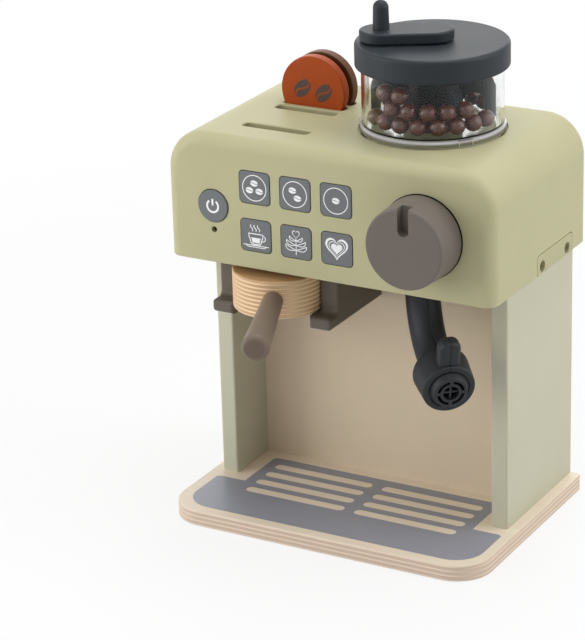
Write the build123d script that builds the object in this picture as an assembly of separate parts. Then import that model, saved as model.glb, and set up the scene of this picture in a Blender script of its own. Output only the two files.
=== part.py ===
from build123d import *
import math
import os

# Toy coffee maker. Millimetres, +Z up, -Y to the front, +X to the right as seen from the front.
# The origin is the centre of the base board's underside.

os.makedirs("parts", exist_ok=True)

# ---------------------------------------------------------------- driving dimensions

# fits and clearances
RUNNING_FIT = 0.08
BODY_GAP = 0.3
SCREW_GAP = 0.05
MOULD_GAP = 0.25

# wooden base
BASE_SIDE_MARGIN = 6.55
BASE_DEPTH = 141.3
BASE_THICKNESS = 9.6
BASE_FRONT_RADIUS = 21.0
BASE_BACK_RADIUS = 3.0
BASE_EDGE_ROUND = 0.8

# upright boards
PANEL_THICKNESS = 10.0
PANEL_SETBACK = 34.7
PANEL_EDGE_ROUND = 1.2
PANEL_TONGUE_HEIGHT = 14.0
PANEL_TONGUE_SETBACK = 2.5
BACK_PANEL_SETBACK = 70.3
BACK_PANEL_THICKNESS = 8.0

# moulded hood
HOOD_WIDTH = 200.0
HOOD_SIDE_OVERHANG = 8.3
HOOD_FRONT_Y = -50.4
HOOD_BOTTOM_Z = 154.3
HOOD_HEIGHT = 73.8
HOOD_CORNER_RADIUS = 22.6
HOOD_EDGE_RADIUS = 7.0
HOOD_WALL = 3.0
HOOD_RIM_ROUND = 0.8
HOOD_POST_RADIUS = 4.0
HOOD_POST_FRONT_INSET_X = 12.0
HOOD_POST_FRONT_INSET_Y = 20.4
HOOD_POST_BACK_INSET_X = 30.0
HOOD_POST_BACK_INSET_Y = 12.65
HOOD_FLOOR_THICKNESS = 3.0

# fixing tabs, upturned from the hood floor
TAB_BACK_Y = 49.9
TAB_FRONT_Y = 4.5
TAB_HEIGHT = 11.4
TAB_CORNER_RADIUS = 2.5
TAB_SCREW_INSET = 6.5
TAB_SCREW_HEIGHT = 4.0
TAB_COUNTERBORE_DEPTH = 5.5
TAB_COUNTERBORE_RADIUS = 3.3
TAB_GAP = 0.4

# screws
SCREW_SHANK_RADIUS = 1.5
SCREW_HEAD_RADIUS = 2.8
SCREW_HEAD_DEPTH = 1.8
SCREW_BITE = 8.0
SCREW_SINK = 0.4

# token slots and tokens
SLOT_SIDE_GAP = 0.5
SLOT_CORNER_RADIUS = 2.0
SLOT_BEVEL = 0.5
RACK_X = -44.7
RACK_FRONT_Y = 11.5
RACK_WEB = 3.4
RACK_COUNT = 3
RACK_END_GAP = 1.24
FEED_SLOT_X = -43.6
FEED_SLOT_SETBACK = 25.9
FEED_END_GAP = 0.5
RACK_TRAY_DEPTH = 11.4
FEED_TRAY_DEPTH = 30.0
TRAY_WALL = 2.0
TRAY_FLANGE_WIDTH = 3.0
TOKEN_RADIUS = 20.0
TOKEN_THICKNESS = 6.0
TOKEN_EDGE_ROUND = 0.6

# push buttons
KEY_WIDTH = 18.75
KEY_HEIGHT = 18.3
KEY_CORNER_RADIUS = 2.4
KEY_MIDDLE_X = -18.4
KEY_PITCH_X = 25.15
KEY_LOWER_RISE = 19.7
KEY_PITCH_Z = 27.6
POWER_X = -70.2
POWER_RISE = 33.3
POWER_RADIUS = 9.3
BUTTON_GAP = 0.45
BUTTON_PROUD = 0.3
POWER_PROUD = 0.8
BUTTON_EDGE_ROUND = 0.4
BUTTON_LIP = 1.2
BUTTON_LIP_THICKNESS = 1.4
BUTTON_TRAVEL = 1.5
BUTTON_STEM_RADIUS = 2.5
BUTTON_SHOULDER_RADIUS = 4.5
BUTTON_STEM_TAIL = 2.0
LIGHT_HOLE_RADIUS = 1.75
LIGHT_HOLE_DROP = 13.8
CARRIER_THICKNESS = 2.5
CARRIER_STAND_OFF = 6.6
CARRIER_POST_RADIUS = 3.2
CARRIER_POST_MARGIN = 1.0
CARRIER_POST_DROP = 4.5

# dial
DIAL_X = 58.3
DIAL_RISE = 34.7
DIAL_FRONT_RADIUS = 22.6
DIAL_TAPER = 0.9
DIAL_THICKNESS = 21.4
DIAL_STAND_OFF = 1.0
DIAL_EDGE_ROUND = 1.4
DIAL_NOTCH_WIDTH = 6.5
DIAL_NOTCH_LENGTH = 15.5
DIAL_NOTCH_DEPTH = 5.8
DIAL_SHAFT_RADIUS = 3.5
DIAL_SHAFT_BITE = 12.0
DIAL_BOSS_RADIUS = 7.0
DIAL_BOSS_LENGTH = 8.0

# retaining clips on the dial and the steam wand
CLIP_THICKNESS = 1.5
CLIP_WIDTH = 3.0
SHAFT_TAIL = 2.5

# hopper
HOPPER_X = 33.3
HOPPER_Y = 13.0
WELL_GAP = 1.1
WELL_DEPTH = 1.6
WELL_PAD_MARGIN = 3.0
CUP_RADIUS = 38.9
CUP_WALL = 1.8
CUP_FOOT_REACH = 1.0
CUP_FOOT_CHAMFER = 0.9
CUP_FOOT_HEIGHT = 3.2
CUP_HEIGHT = 35.9
CUP_FLOOR_HEIGHT = 6.5
CUP_FLOOR_THICKNESS = 2.4
CUP_SPIGOT_RADIUS = 12.0
CUP_SPIGOT_WALL = 2.0
CUP_LUG_REACH = 3.0
CUP_LUG_THICKNESS = 2.4
CUP_LUG_ANGLE = 40.0
CUP_LUG_COUNT = 3
CUP_MARK_ANGLE = 11.8
CUP_MARK_START = -36.5
CUP_MARK_REACH = 1.7
CUP_MARK_HEIGHT = 3.2
LID_WALL = 3.4
LID_HEIGHT = 13.5
LID_TOP_THICKNESS = 2.5
LID_EDGE_ROUND = 2.0
LID_BOSS_RADIUS = 8.0
LID_BOSS_LENGTH = 6.0

# crank
CRANK_ANGLE = 209.5
CRANK_REACH = 27.5
CRANK_ARM_HALF_WIDTH = 12.0
CRANK_ARM_THICKNESS = 4.3
CRANK_ARM_LIFT = 2.4
CRANK_ARM_EDGE_ROUND = 1.2
CRANK_HUB_RADIUS = 8.0
CRANK_SHAFT_RADIUS = 4.0
CRANK_SHAFT_CAP = 1.3
PEG_FOOT_RADIUS = 4.55
PEG_TOP_RADIUS = 4.25
PEG_HEIGHT = 16.1
PEG_TENON_RADIUS = 2.5
PEG_TENON_LENGTH = 3.0

# stirrer and beans
STIRRER_HUB_RADIUS = 16.0
STIRRER_HUB_WALL = 2.5
STIRRER_CORE_RADIUS = 7.0
STIRRER_WALL_GAP = 3.5
STIRRER_LEG_WIDTH = 5.4
STIRRER_LEG_THICKNESS = 6.0
STIRRER_ARCH_HEIGHT = 13.8
STIRRER_ARM_HEIGHT = 25.0
STIRRER_SHOULDER_RADIUS = 8.0
STIRRER_FLOOR_GAP = 1.5
BEAN_RADIUS = 4.75
BEAN_WALL_GAP = 0.35
BEAN_SPACING_GAP = 0.79
BEAN_ROW_RISE = 8.1
BEAN_FRONT_ANGLE = 17.5
BEAN_BACK_ANGLE = 25.5
BEAN_BACK_COUNT = 7
BEAN_SECOND_COUNT = 5
BEAN_THIRD_COUNT = 2

# portafilter rails
RAIL_PANEL_GAP = 2.25
RAIL_FILTER_GAP = 0.6
RAIL_THICKNESS = 11.35
RAIL_LEDGE_WIDTH = 2.2
RAIL_HEIGHT = 33.9
RAIL_LEDGE_THICKNESS = 7.3
RAIL_LEG_SETBACK = 18.9
RAIL_FOOT_LENGTH = 9.5
RAIL_INSIDE_FILLET = 3.0
RAIL_EDGE_ROUND = 2.2
RAIL_SCREW_INSET = 12.0
RAIL_SCREW_BITE = 14.0

# portafilter
FILTER_SETBACK = 19.9
FILTER_RADIUS = 25.8
FILTER_THICKNESS = 22.1
FILTER_EDGE_ROUND = 1.0
HANDLE_ANGLE = 22.0
HANDLE_ROOT_RADIUS = 5.6
HANDLE_END_RADIUS = 7.75
HANDLE_LENGTH = 70.0
HANDLE_END_ROUND = 3.2
DOWEL_RADIUS = 3.0
DOWEL_BITE = 16.0

# steam wand
WAND_X = 40.0
WAND_SETBACK = 35.4
WAND_REST_ANGLE = 42.5
WAND_TUBE_RADIUS = 9.65
WAND_TUBE_WALL = 2.6
WAND_DROP = 6.0
WAND_BEND_RADIUS = 37.9
WAND_BEND_ANGLE = 76.0
WAND_STRAIGHT = 23.6
WAND_DRUM_LENGTH = 21.0
WAND_DRUM_FRONT_RADIUS = 14.6
WAND_DRUM_TAPER = 1.4
WAND_DRUM_ROUND = 4.5
WAND_RIM_ROUND = 1.2
WAND_DRUM_BORE_DEPTH = 8.0
WAND_TAB_WIDTH = 12.0
WAND_TAB_THICKNESS = 9.0
WAND_TAB_SETBACK = 1.4
WAND_TAB_HEIGHT = 28.6
WAND_TAB_CORNER = 4.6
WAND_TAB_ROUND = 2.6
WAND_SPIGOT_RADIUS = 6.0
WAND_SPIGOT_BITE = 6.0
WAND_BOSS_RADIUS = 10.0
WAND_BOSS_HEIGHT = 8.0
NOZZLE_RADIUS = 11.4
NOZZLE_PLATE_THICKNESS = 3.0
NOZZLE_GROOVE_WIDTH = 0.6
NOZZLE_GROOVE_DEPTH = 1.4
NOZZLE_BOSS_FOOT_RADIUS = 10.6
NOZZLE_BOSS_RADIUS = 9.2
NOZZLE_BOSS_HEIGHT = 3.6
NOZZLE_BOSS_ROUND = 0.8
NOZZLE_SLOT_RADIUS = 6.8
NOZZLE_SLOT_WIDTH = 1.6
NOZZLE_SLOT_COUNT = 4
NOZZLE_BRIDGE_ANGLE = 16.0
NOZZLE_BORE_RADIUS = 4.4
NOZZLE_BAR_WIDTH = 1.2
NOZZLE_BAR_SETBACK = 1.4

# ---------------------------------------------------------------- derived places

# hood and boards
HOOD_SIDE_X = HOOD_WIDTH / 2
HOOD_INNER_X = HOOD_SIDE_X - HOOD_WALL
HOOD_TOP_Z = HOOD_BOTTOM_Z + HOOD_HEIGHT
HOOD_FLOOR_TOP_Z = HOOD_BOTTOM_Z + HOOD_FLOOR_THICKNESS
HOOD_INNER_FRONT_Y = HOOD_FRONT_Y + HOOD_WALL
BASE_BACK_Y = BASE_DEPTH / 2
HOOD_BACK_Y = BASE_BACK_Y
HOOD_INNER_BACK_Y = HOOD_BACK_Y - HOOD_WALL
PANEL_OUTER_X = HOOD_SIDE_X - HOOD_SIDE_OVERHANG
PANEL_INNER_X = PANEL_OUTER_X - PANEL_THICKNESS
PANEL_FRONT_Y = HOOD_FRONT_Y + PANEL_SETBACK
PANEL_TONGUE_BACK_Y = HOOD_INNER_BACK_Y - PANEL_TONGUE_SETBACK
BACK_PANEL_FRONT_Y = HOOD_FRONT_Y + BACK_PANEL_SETBACK
BACK_PANEL_BACK_Y = BACK_PANEL_FRONT_Y + BACK_PANEL_THICKNESS
BASE_WIDTH = 2 * (PANEL_OUTER_X + BASE_SIDE_MARGIN)
BASE_TO_PANEL_X = (PANEL_INNER_X + PANEL_OUTER_X) / 2
TAB_SCREW_Z = HOOD_BOTTOM_Z + TAB_SCREW_HEIGHT

# token slots
TOKEN_SUNK = RACK_TRAY_DEPTH - BODY_GAP
RACK_SLOT_LENGTH = 2 * (math.sqrt(TOKEN_SUNK * (2 * TOKEN_RADIUS - TOKEN_SUNK)) + RACK_END_GAP)
FEED_SLOT_LENGTH = 2 * (TOKEN_RADIUS + FEED_END_GAP)
FEED_SLOT_Y = HOOD_FRONT_Y + FEED_SLOT_SETBACK
SLOT_WIDTH = TOKEN_THICKNESS + 2 * SLOT_SIDE_GAP
RACK_PITCH = SLOT_WIDTH + RACK_WEB

# hopper, crank and beans
WELL_FLOOR_Z = HOOD_TOP_Z - WELL_DEPTH
WELL_UNDERSIDE_Z = WELL_FLOOR_Z - HOOD_WALL
CUP_FOOT_RADIUS = CUP_RADIUS + CUP_FOOT_REACH
CUP_INNER_RADIUS = CUP_RADIUS - CUP_WALL
CUP_FLOOR_Z = WELL_FLOOR_Z + CUP_FLOOR_HEIGHT
WELL_RADIUS = CUP_FOOT_RADIUS + WELL_GAP
LID_RADIUS = CUP_RADIUS + LID_WALL
LID_BOTTOM_Z = HOOD_TOP_Z + CUP_HEIGHT
LID_TOP_Z = LID_BOTTOM_Z + LID_HEIGHT
LID_CEILING_Z = LID_TOP_Z - LID_TOP_THICKNESS
LID_BOSS_BOTTOM_Z = LID_CEILING_Z - LID_BOSS_LENGTH
CRANK_ARM_BOTTOM_Z = LID_TOP_Z + CRANK_ARM_LIFT
CRANK_ARM_TOP_Z = CRANK_ARM_BOTTOM_Z + CRANK_ARM_THICKNESS
STIRRER_REACH = CUP_INNER_RADIUS - STIRRER_WALL_GAP
STIRRER_TOP_Z = LID_BOSS_BOTTOM_Z - BODY_GAP
STIRRER_BOTTOM_Z = CUP_FLOOR_Z + STIRRER_FLOOR_GAP
STIRRER_ARCH_TOP_Z = STIRRER_BOTTOM_Z + STIRRER_ARCH_HEIGHT
STIRRER_ARM_TOP_Z = STIRRER_BOTTOM_Z + STIRRER_ARM_HEIGHT
BEAN_RING_RADIUS = CUP_INNER_RADIUS - BEAN_WALL_GAP - BEAN_RADIUS
BEAN_PITCH_ANGLE = 2 * math.degrees(math.asin((BEAN_RADIUS + BEAN_SPACING_GAP / 2) / BEAN_RING_RADIUS))
BEAN_FRONT_START = CRANK_ANGLE - 360 + BEAN_FRONT_ANGLE
BEAN_FRONT_COUNT = 1 + int((180 - 2 * BEAN_FRONT_ANGLE) / BEAN_PITCH_ANGLE)
BEAN_SECOND_START = BEAN_FRONT_START + 1.5 * BEAN_PITCH_ANGLE
BEAN_THIRD_START = BEAN_FRONT_START + BEAN_PITCH_ANGLE
BEAN_BACK_START = CRANK_ANGLE - 180 + BEAN_BACK_ANGLE

# portafilter and rails
RAIL_INNER_GAP = 2 * (FILTER_RADIUS + RAIL_FILTER_GAP)
RAIL_CENTRE_X = RAIL_PANEL_GAP + RAIL_THICKNESS + RAIL_INNER_GAP / 2 - PANEL_INNER_X
RAIL_BOTTOM_Z = HOOD_BOTTOM_Z - RAIL_HEIGHT
RAIL_LEDGE_TOP_Z = RAIL_BOTTOM_Z + RAIL_LEDGE_THICKNESS
RAIL_LEG_FRONT_Y = HOOD_FRONT_Y + RAIL_LEG_SETBACK
RAIL_FOOT_FRONT_Y = RAIL_LEG_FRONT_Y - RAIL_FOOT_LENGTH
FILTER_Y = HOOD_FRONT_Y + FILTER_SETBACK
FILTER_BOTTOM_Z = RAIL_LEDGE_TOP_Z + BODY_GAP
FILTER_TOP_Z = FILTER_BOTTOM_Z + FILTER_THICKNESS
HANDLE_Z = (FILTER_BOTTOM_Z + FILTER_TOP_Z) / 2

# steam wand
WAND_Y = HOOD_FRONT_Y + WAND_SETBACK
WAND_TOP_Z = HOOD_BOTTOM_Z - BODY_GAP
WAND_BORE_RADIUS = WAND_TUBE_RADIUS - WAND_TUBE_WALL
WAND_DRUM_BACK_RADIUS = WAND_DRUM_FRONT_RADIUS + WAND_DRUM_TAPER

# buttons and dial
DIAL_BACK_RADIUS = DIAL_FRONT_RADIUS + DIAL_TAPER
DIAL_Z = HOOD_BOTTOM_Z + DIAL_RISE
POWER_Z = HOOD_BOTTOM_Z + POWER_RISE
KEY_LOWER_Z = HOOD_BOTTOM_Z + KEY_LOWER_RISE
CARRIER_FRONT_Y = HOOD_INNER_FRONT_Y + CARRIER_STAND_OFF
CARRIER_BACK_Y = CARRIER_FRONT_Y + CARRIER_THICKNESS
LIP_FRONT_Y = HOOD_INNER_FRONT_Y + BODY_GAP
LIP_BACK_Y = LIP_FRONT_Y + BUTTON_LIP_THICKNESS
SHOULDER_BACK_Y = CARRIER_FRONT_Y - BUTTON_TRAVEL - BODY_GAP
KEY_NAMES = ("left", "middle", "right")
KEY_COLUMNS = (KEY_MIDDLE_X - KEY_PITCH_X, KEY_MIDDLE_X, KEY_MIDDLE_X + KEY_PITCH_X)
KEY_UPPER_Z = KEY_LOWER_Z + KEY_PITCH_Z
LAST_KEY_X = KEY_COLUMNS[-1]
CARRIER_POST_PITCH = CARRIER_POST_RADIUS + CARRIER_POST_MARGIN + BUTTON_LIP
CARRIER_LEFT_X = POWER_X - POWER_RADIUS - CARRIER_POST_PITCH
CARRIER_RIGHT_X = LAST_KEY_X + KEY_WIDTH / 2 + CARRIER_POST_PITCH
CARRIER_LOW_Z = KEY_LOWER_Z - CARRIER_POST_DROP
CARRIER_HIGH_Z = KEY_UPPER_Z + CARRIER_POST_DROP

FRONT_VIEW = Plane(origin=(0, 0, 0), x_dir=(1, 0, 0), z_dir=(0, -1, 0))


# ---------------------------------------------------------------- shared shapes

def block(x_span, y_span, z_span):
    """Return a box that fills three (low, high) spans."""
    size_x = x_span[1] - x_span[0]
    size_y = y_span[1] - y_span[0]
    size_z = z_span[1] - z_span[0]
    corner = (Align.MIN, Align.MIN, Align.MIN)
    return Pos(x_span[0], y_span[0], z_span[0]) * Box(size_x, size_y, size_z, align=corner)


def post(x, y, z_low, z_high, radius):
    """Return an upright cylinder between two heights."""
    base = (Align.CENTER, Align.CENTER, Align.MIN)
    return Pos(x, y, z_low) * Cylinder(radius, z_high - z_low, align=base)


def rod(x, z, y_low, y_high, radius):
    """Return a cylinder that runs from front to back between two depths."""
    disc = Pos(x, z) * Circle(radius)
    return extrude(FRONT_VIEW.offset(-y_high) * disc, amount=y_high - y_low)


def front_prism(sketch, y_low, y_high):
    """Return a front-view sketch extruded between two depths."""
    return extrude(FRONT_VIEW.offset(-y_high) * sketch, amount=y_high - y_low)


def turned(profile):
    """Return the solid of revolution about Z of a profile in the XZ plane."""
    return revolve(Plane.XZ * profile, axis=Axis.Z)


def screw_form(length):
    """Return a countersunk screw along +Z with its head's face at the origin."""
    head = (SCREW_HEAD_RADIUS, 0)
    neck = (SCREW_SHANK_RADIUS, SCREW_HEAD_DEPTH)
    tip = (SCREW_SHANK_RADIUS, length)
    return turned(make_face(Polyline((0, 0), head, neck, tip, (0, length), close=True)))


def screw_cutter(length, recess):
    """Return the hole for a screw, open outward from its head for the depth of a recess."""
    wide = SCREW_HEAD_RADIUS + SCREW_GAP
    narrow = SCREW_SHANK_RADIUS + SCREW_GAP
    end = length + SCREW_GAP
    mouth = (wide, -recess)
    seat = (wide, 0)
    neck = (narrow, SCREW_HEAD_DEPTH + SCREW_GAP)
    return turned(make_face(Polyline((0, -recess), mouth, seat, neck, (narrow, end), (0, end), close=True)))


def screws_at(places, length):
    """Return one screw for each place, as a list."""
    return [place * screw_form(length) for place in places]


def screw_holes(places, length, recess=HOOD_WALL):
    """Return one screw hole for each place, as a list."""
    return [place * screw_cutter(length, recess) for place in places]


def cut_all(solid, tools):
    """Return a solid with every tool cut from it."""
    for tool in tools:
        solid = solid - tool
    return solid


def join_all(solid, additions):
    """Return a solid joined with every addition."""
    for addition in additions:
        solid = solid + addition
    return solid


def as_group(solids):
    """Return separate solids held together as one compound."""
    return Compound(children=[piece.solid() for piece in solids])


# ---------------------------------------------------------------- screw places

def base_screw_places():
    """Return the places of the screws driven up through the base board."""
    side_back = BASE_BACK_Y - BASE_FRONT_RADIUS
    side_front = PANEL_FRONT_Y + BASE_FRONT_RADIUS
    back_y = (BACK_PANEL_FRONT_Y + BACK_PANEL_BACK_Y) / 2
    back_x = PANEL_INNER_X / 2
    points = [(side * BASE_TO_PANEL_X, y) for side in (-1, 1) for y in (side_front, side_back)]
    points += [(-back_x, back_y), (back_x, back_y)]
    return [Pos(x, y, SCREW_SINK) for x, y in points]


def base_screw_length():
    """Return the length that bites into the upright boards."""
    return BASE_THICKNESS + SCREW_BITE


def floor_post_points():
    """Return the (x, y) of the four posts that the hood floor is screwed to."""
    front_x = HOOD_SIDE_X - HOOD_POST_FRONT_INSET_X
    front_y = HOOD_FRONT_Y + HOOD_POST_FRONT_INSET_Y
    back_x = HOOD_SIDE_X - HOOD_POST_BACK_INSET_X
    back_y = HOOD_BACK_Y - HOOD_POST_BACK_INSET_Y
    return [(-front_x, front_y), (front_x, front_y), (-back_x, back_y), (back_x, back_y)]


def floor_screw_places():
    """Return the places of the screws driven up through the hood floor."""
    return [Pos(x, y, HOOD_BOTTOM_Z + SCREW_SINK) for x, y in floor_post_points()]


def floor_screw_length():
    """Return the length that bites into the hood's posts."""
    return HOOD_FLOOR_THICKNESS + SCREW_BITE


def tab_screw_places():
    """Return the places of the screws driven inward through the fixing tabs."""
    ys = (TAB_FRONT_Y + TAB_SCREW_INSET, TAB_BACK_Y - TAB_SCREW_INSET)
    head_x = HOOD_SIDE_X - TAB_COUNTERBORE_DEPTH
    right = [Pos(head_x, y, TAB_SCREW_Z) * Rot(0, -90, 0) for y in ys]
    left = [Pos(-head_x, y, TAB_SCREW_Z) * Rot(0, 90, 0) for y in ys]
    return right + left


def tab_screw_length():
    """Return the length that reaches into the side panels."""
    return HOOD_SIDE_X - TAB_COUNTERBORE_DEPTH - PANEL_OUTER_X + SCREW_BITE


def rail_screw_places():
    """Return the places of the screws driven down through the hood floor into the rails."""
    offset = RAIL_INNER_GAP / 2 + RAIL_THICKNESS / 2
    ys = (RAIL_LEG_FRONT_Y + RAIL_SCREW_INSET, BACK_PANEL_FRONT_Y - RAIL_SCREW_INSET)
    head_z = HOOD_FLOOR_TOP_Z - SCREW_SINK
    points = [(RAIL_CENTRE_X + side * offset, y) for side in (-1, 1) for y in ys]
    return [Pos(x, y, head_z) * Rot(180, 0, 0) for x, y in points]


def carrier_post_points():
    """Return the (x, z) of the four posts that hold the button carrier."""
    xs = (CARRIER_LEFT_X, CARRIER_RIGHT_X)
    return [(x, z) for x in xs for z in (CARRIER_LOW_Z, CARRIER_HIGH_Z)]


def carrier_screw_places():
    """Return the places of the screws driven forward through the carrier."""
    return [Pos(x, CARRIER_BACK_Y, z) * Rot(90, 0, 0) for x, z in carrier_post_points()]


def carrier_screw_length():
    """Return the length that stays inside the carrier and its posts."""
    return CARRIER_THICKNESS + CARRIER_STAND_OFF - SCREW_SINK


# ---------------------------------------------------------------- wooden body

def base_board():
    """Return the rounded plywood base with its countersunk holes."""
    outline = Rectangle(BASE_WIDTH, BASE_DEPTH)
    outline = fillet(outline.vertices().group_by(Axis.Y)[0], BASE_FRONT_RADIUS)
    outline = fillet(outline.vertices().group_by(Axis.Y)[-1], BASE_BACK_RADIUS)
    board = extrude(outline, amount=BASE_THICKNESS)
    rims = board.faces().sort_by(Axis.Z)[-1].outer_wire().edges()
    rims += board.faces().sort_by(Axis.Z)[0].outer_wire().edges()
    board = fillet(rims, BASE_EDGE_ROUND)
    return cut_all(board, screw_holes(base_screw_places(), base_screw_length()))


def side_panel(side):
    """Return one side panel with a tongue that reaches up into the hood."""
    xs = sorted((side * PANEL_INNER_X, side * PANEL_OUTER_X))
    board = block(xs, (PANEL_FRONT_Y, BASE_BACK_Y), (BASE_THICKNESS, HOOD_BOTTOM_Z))
    edges = board.edges().filter_by(Axis.Z)
    board = fillet(edges, PANEL_EDGE_ROUND)
    tongue_y = (PANEL_FRONT_Y + PANEL_EDGE_ROUND, PANEL_TONGUE_BACK_Y)
    tongue_top = HOOD_BOTTOM_Z + PANEL_TONGUE_HEIGHT
    board = board + block(xs, tongue_y, (HOOD_BOTTOM_Z - PANEL_THICKNESS, tongue_top))
    board = cut_all(board, screw_holes(base_screw_places(), base_screw_length()))
    return cut_all(board, screw_holes(tab_screw_places(), tab_screw_length()))


def back_panel():
    """Return the board that closes the brewing bay."""
    xs = (-PANEL_INNER_X, PANEL_INNER_X)
    board = block(xs, (BACK_PANEL_FRONT_Y, BACK_PANEL_BACK_Y), (BASE_THICKNESS, HOOD_BOTTOM_Z))
    return cut_all(board, screw_holes(base_screw_places(), base_screw_length()))


# ---------------------------------------------------------------- hood

def hood_form(inset, bottom_z):
    """Return the hood's rounded outer form, drawn in by an inset."""
    width = HOOD_WIDTH - 2 * inset
    top = HOOD_TOP_Z - inset
    outline = Pos(0, (top + bottom_z) / 2) * Rectangle(width, top - bottom_z)
    corners = outline.vertices().group_by(Axis.Y)[-1]
    outline = fillet(corners, HOOD_CORNER_RADIUS - inset)
    form = front_prism(outline, HOOD_FRONT_Y + inset, HOOD_BACK_Y - inset)
    faces = form.faces().sort_by(Axis.Y)
    rims = faces[0].edges().sort_by(Axis.Z)[1:] + faces[-1].edges().sort_by(Axis.Z)[1:]
    return fillet(rims, HOOD_EDGE_RADIUS - inset)


def slot_cutter(length, x, y):
    """Return the cutter of one token slot, with a bevelled mouth."""
    outline = RectangleRounded(length, SLOT_WIDTH, SLOT_CORNER_RADIUS)
    low = HOOD_TOP_Z - 2 * HOOD_WALL
    shaft = Pos(x, y, low) * extrude(outline, amount=HOOD_TOP_Z - low)
    mouth = Pos(x, y, HOOD_TOP_Z - SLOT_BEVEL) * extrude(outline, amount=SLOT_BEVEL, taper=-45)
    return shaft + mouth


def rack_slot_y(index):
    """Return the depth of one slot of the token rack, counted from the front."""
    return RACK_FRONT_Y + index * RACK_PITCH


def slot_cutters():
    """Return the cutters of the feed slot and the rack's slots."""
    feed = slot_cutter(FEED_SLOT_LENGTH, FEED_SLOT_X, FEED_SLOT_Y)
    rack = [slot_cutter(RACK_SLOT_LENGTH, RACK_X, rack_slot_y(index)) for index in range(RACK_COUNT)]
    return [feed] + rack


def key_places():
    """Return each picture key's name and centre in the front view."""
    upper = [("upper_" + name, x, KEY_UPPER_Z) for name, x in zip(KEY_NAMES, KEY_COLUMNS)]
    lower = [("lower_" + name, x, KEY_LOWER_Z) for name, x in zip(KEY_NAMES, KEY_COLUMNS)]
    return upper + lower


def key_outline(grow):
    """Return a picture key's rounded outline, grown by a margin."""
    radius = KEY_CORNER_RADIUS + max(grow, 0)
    return RectangleRounded(KEY_WIDTH + 2 * grow, KEY_HEIGHT + 2 * grow, radius)


def button_windows():
    """Return the cutters of the button windows, the light hole and the dial's bore."""
    through = (HOOD_FRONT_Y - HOOD_WALL, HOOD_INNER_FRONT_Y + 2 * HOOD_WALL)
    outlines = [Pos(x, z) * key_outline(BUTTON_GAP) for _, x, z in key_places()]
    outlines += [Pos(POWER_X, POWER_Z) * Circle(POWER_RADIUS + BUTTON_GAP)]
    outlines += [Pos(POWER_X, POWER_Z - LIGHT_HOLE_DROP) * Circle(LIGHT_HOLE_RADIUS)]
    return [front_prism(outline, *through) for outline in outlines]


def tab_outline(side, grow):
    """Return a fixing tab's outline as seen from its side, grown by a margin."""
    length = TAB_BACK_Y - TAB_FRONT_Y + 2 * grow
    height = TAB_HEIGHT + grow
    centre = side * (TAB_BACK_Y + TAB_FRONT_Y) / 2
    outline = Pos(centre, HOOD_BOTTOM_Z + height / 2) * Rectangle(length, height)
    outline = fillet(outline.vertices().group_by(Axis.Y)[-1], TAB_CORNER_RADIUS)
    return Plane(origin=(0, 0, 0), x_dir=(0, side, 0), z_dir=(side, 0, 0)) * outline


def tab_prism(side, grow, x_low, x_high):
    """Return the tab's outline extruded outward between two distances from the middle."""
    outline = Pos(side * x_low, 0, 0) * tab_outline(side, grow)
    return extrude(outline, amount=x_high - x_low)


def lug_ring(radius, z_low, z_high, start, angle=CUP_LUG_ANGLE):
    """Return the ring segments of the cup's lugs, from its axis to a radius."""
    segments = []
    for index in range(CUP_LUG_COUNT):
        turn = start + index * 360 / CUP_LUG_COUNT
        wedge = Pos(HOPPER_X, HOPPER_Y, z_low) * Rot(0, 0, turn - angle / 2)
        height = z_high - z_low
        base = (Align.CENTER, Align.CENTER, Align.MIN)
        segments.append(wedge * Cylinder(radius, height, arc_size=angle, align=base))
    return segments


def hopper_well(shell):
    """Return the hood shell with the hopper's shallow well and its bayonet hole."""
    pad_radius = WELL_RADIUS + WELL_PAD_MARGIN
    shell = shell + post(HOPPER_X, HOPPER_Y, WELL_UNDERSIDE_Z, HOOD_TOP_Z - HOOD_WALL / 2, pad_radius)
    shell = shell - post(HOPPER_X, HOPPER_Y, WELL_FLOOR_Z, HOOD_TOP_Z + HOOD_WALL, WELL_RADIUS)
    low = WELL_UNDERSIDE_Z - HOOD_WALL
    high = WELL_FLOOR_Z + HOOD_WALL
    shell = shell - post(HOPPER_X, HOPPER_Y, low, high, CUP_SPIGOT_RADIUS + MOULD_GAP)
    reach = CUP_SPIGOT_RADIUS + CUP_LUG_REACH + MOULD_GAP
    return cut_all(shell, lug_ring(reach, low, high, 180 / CUP_LUG_COUNT))


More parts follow.
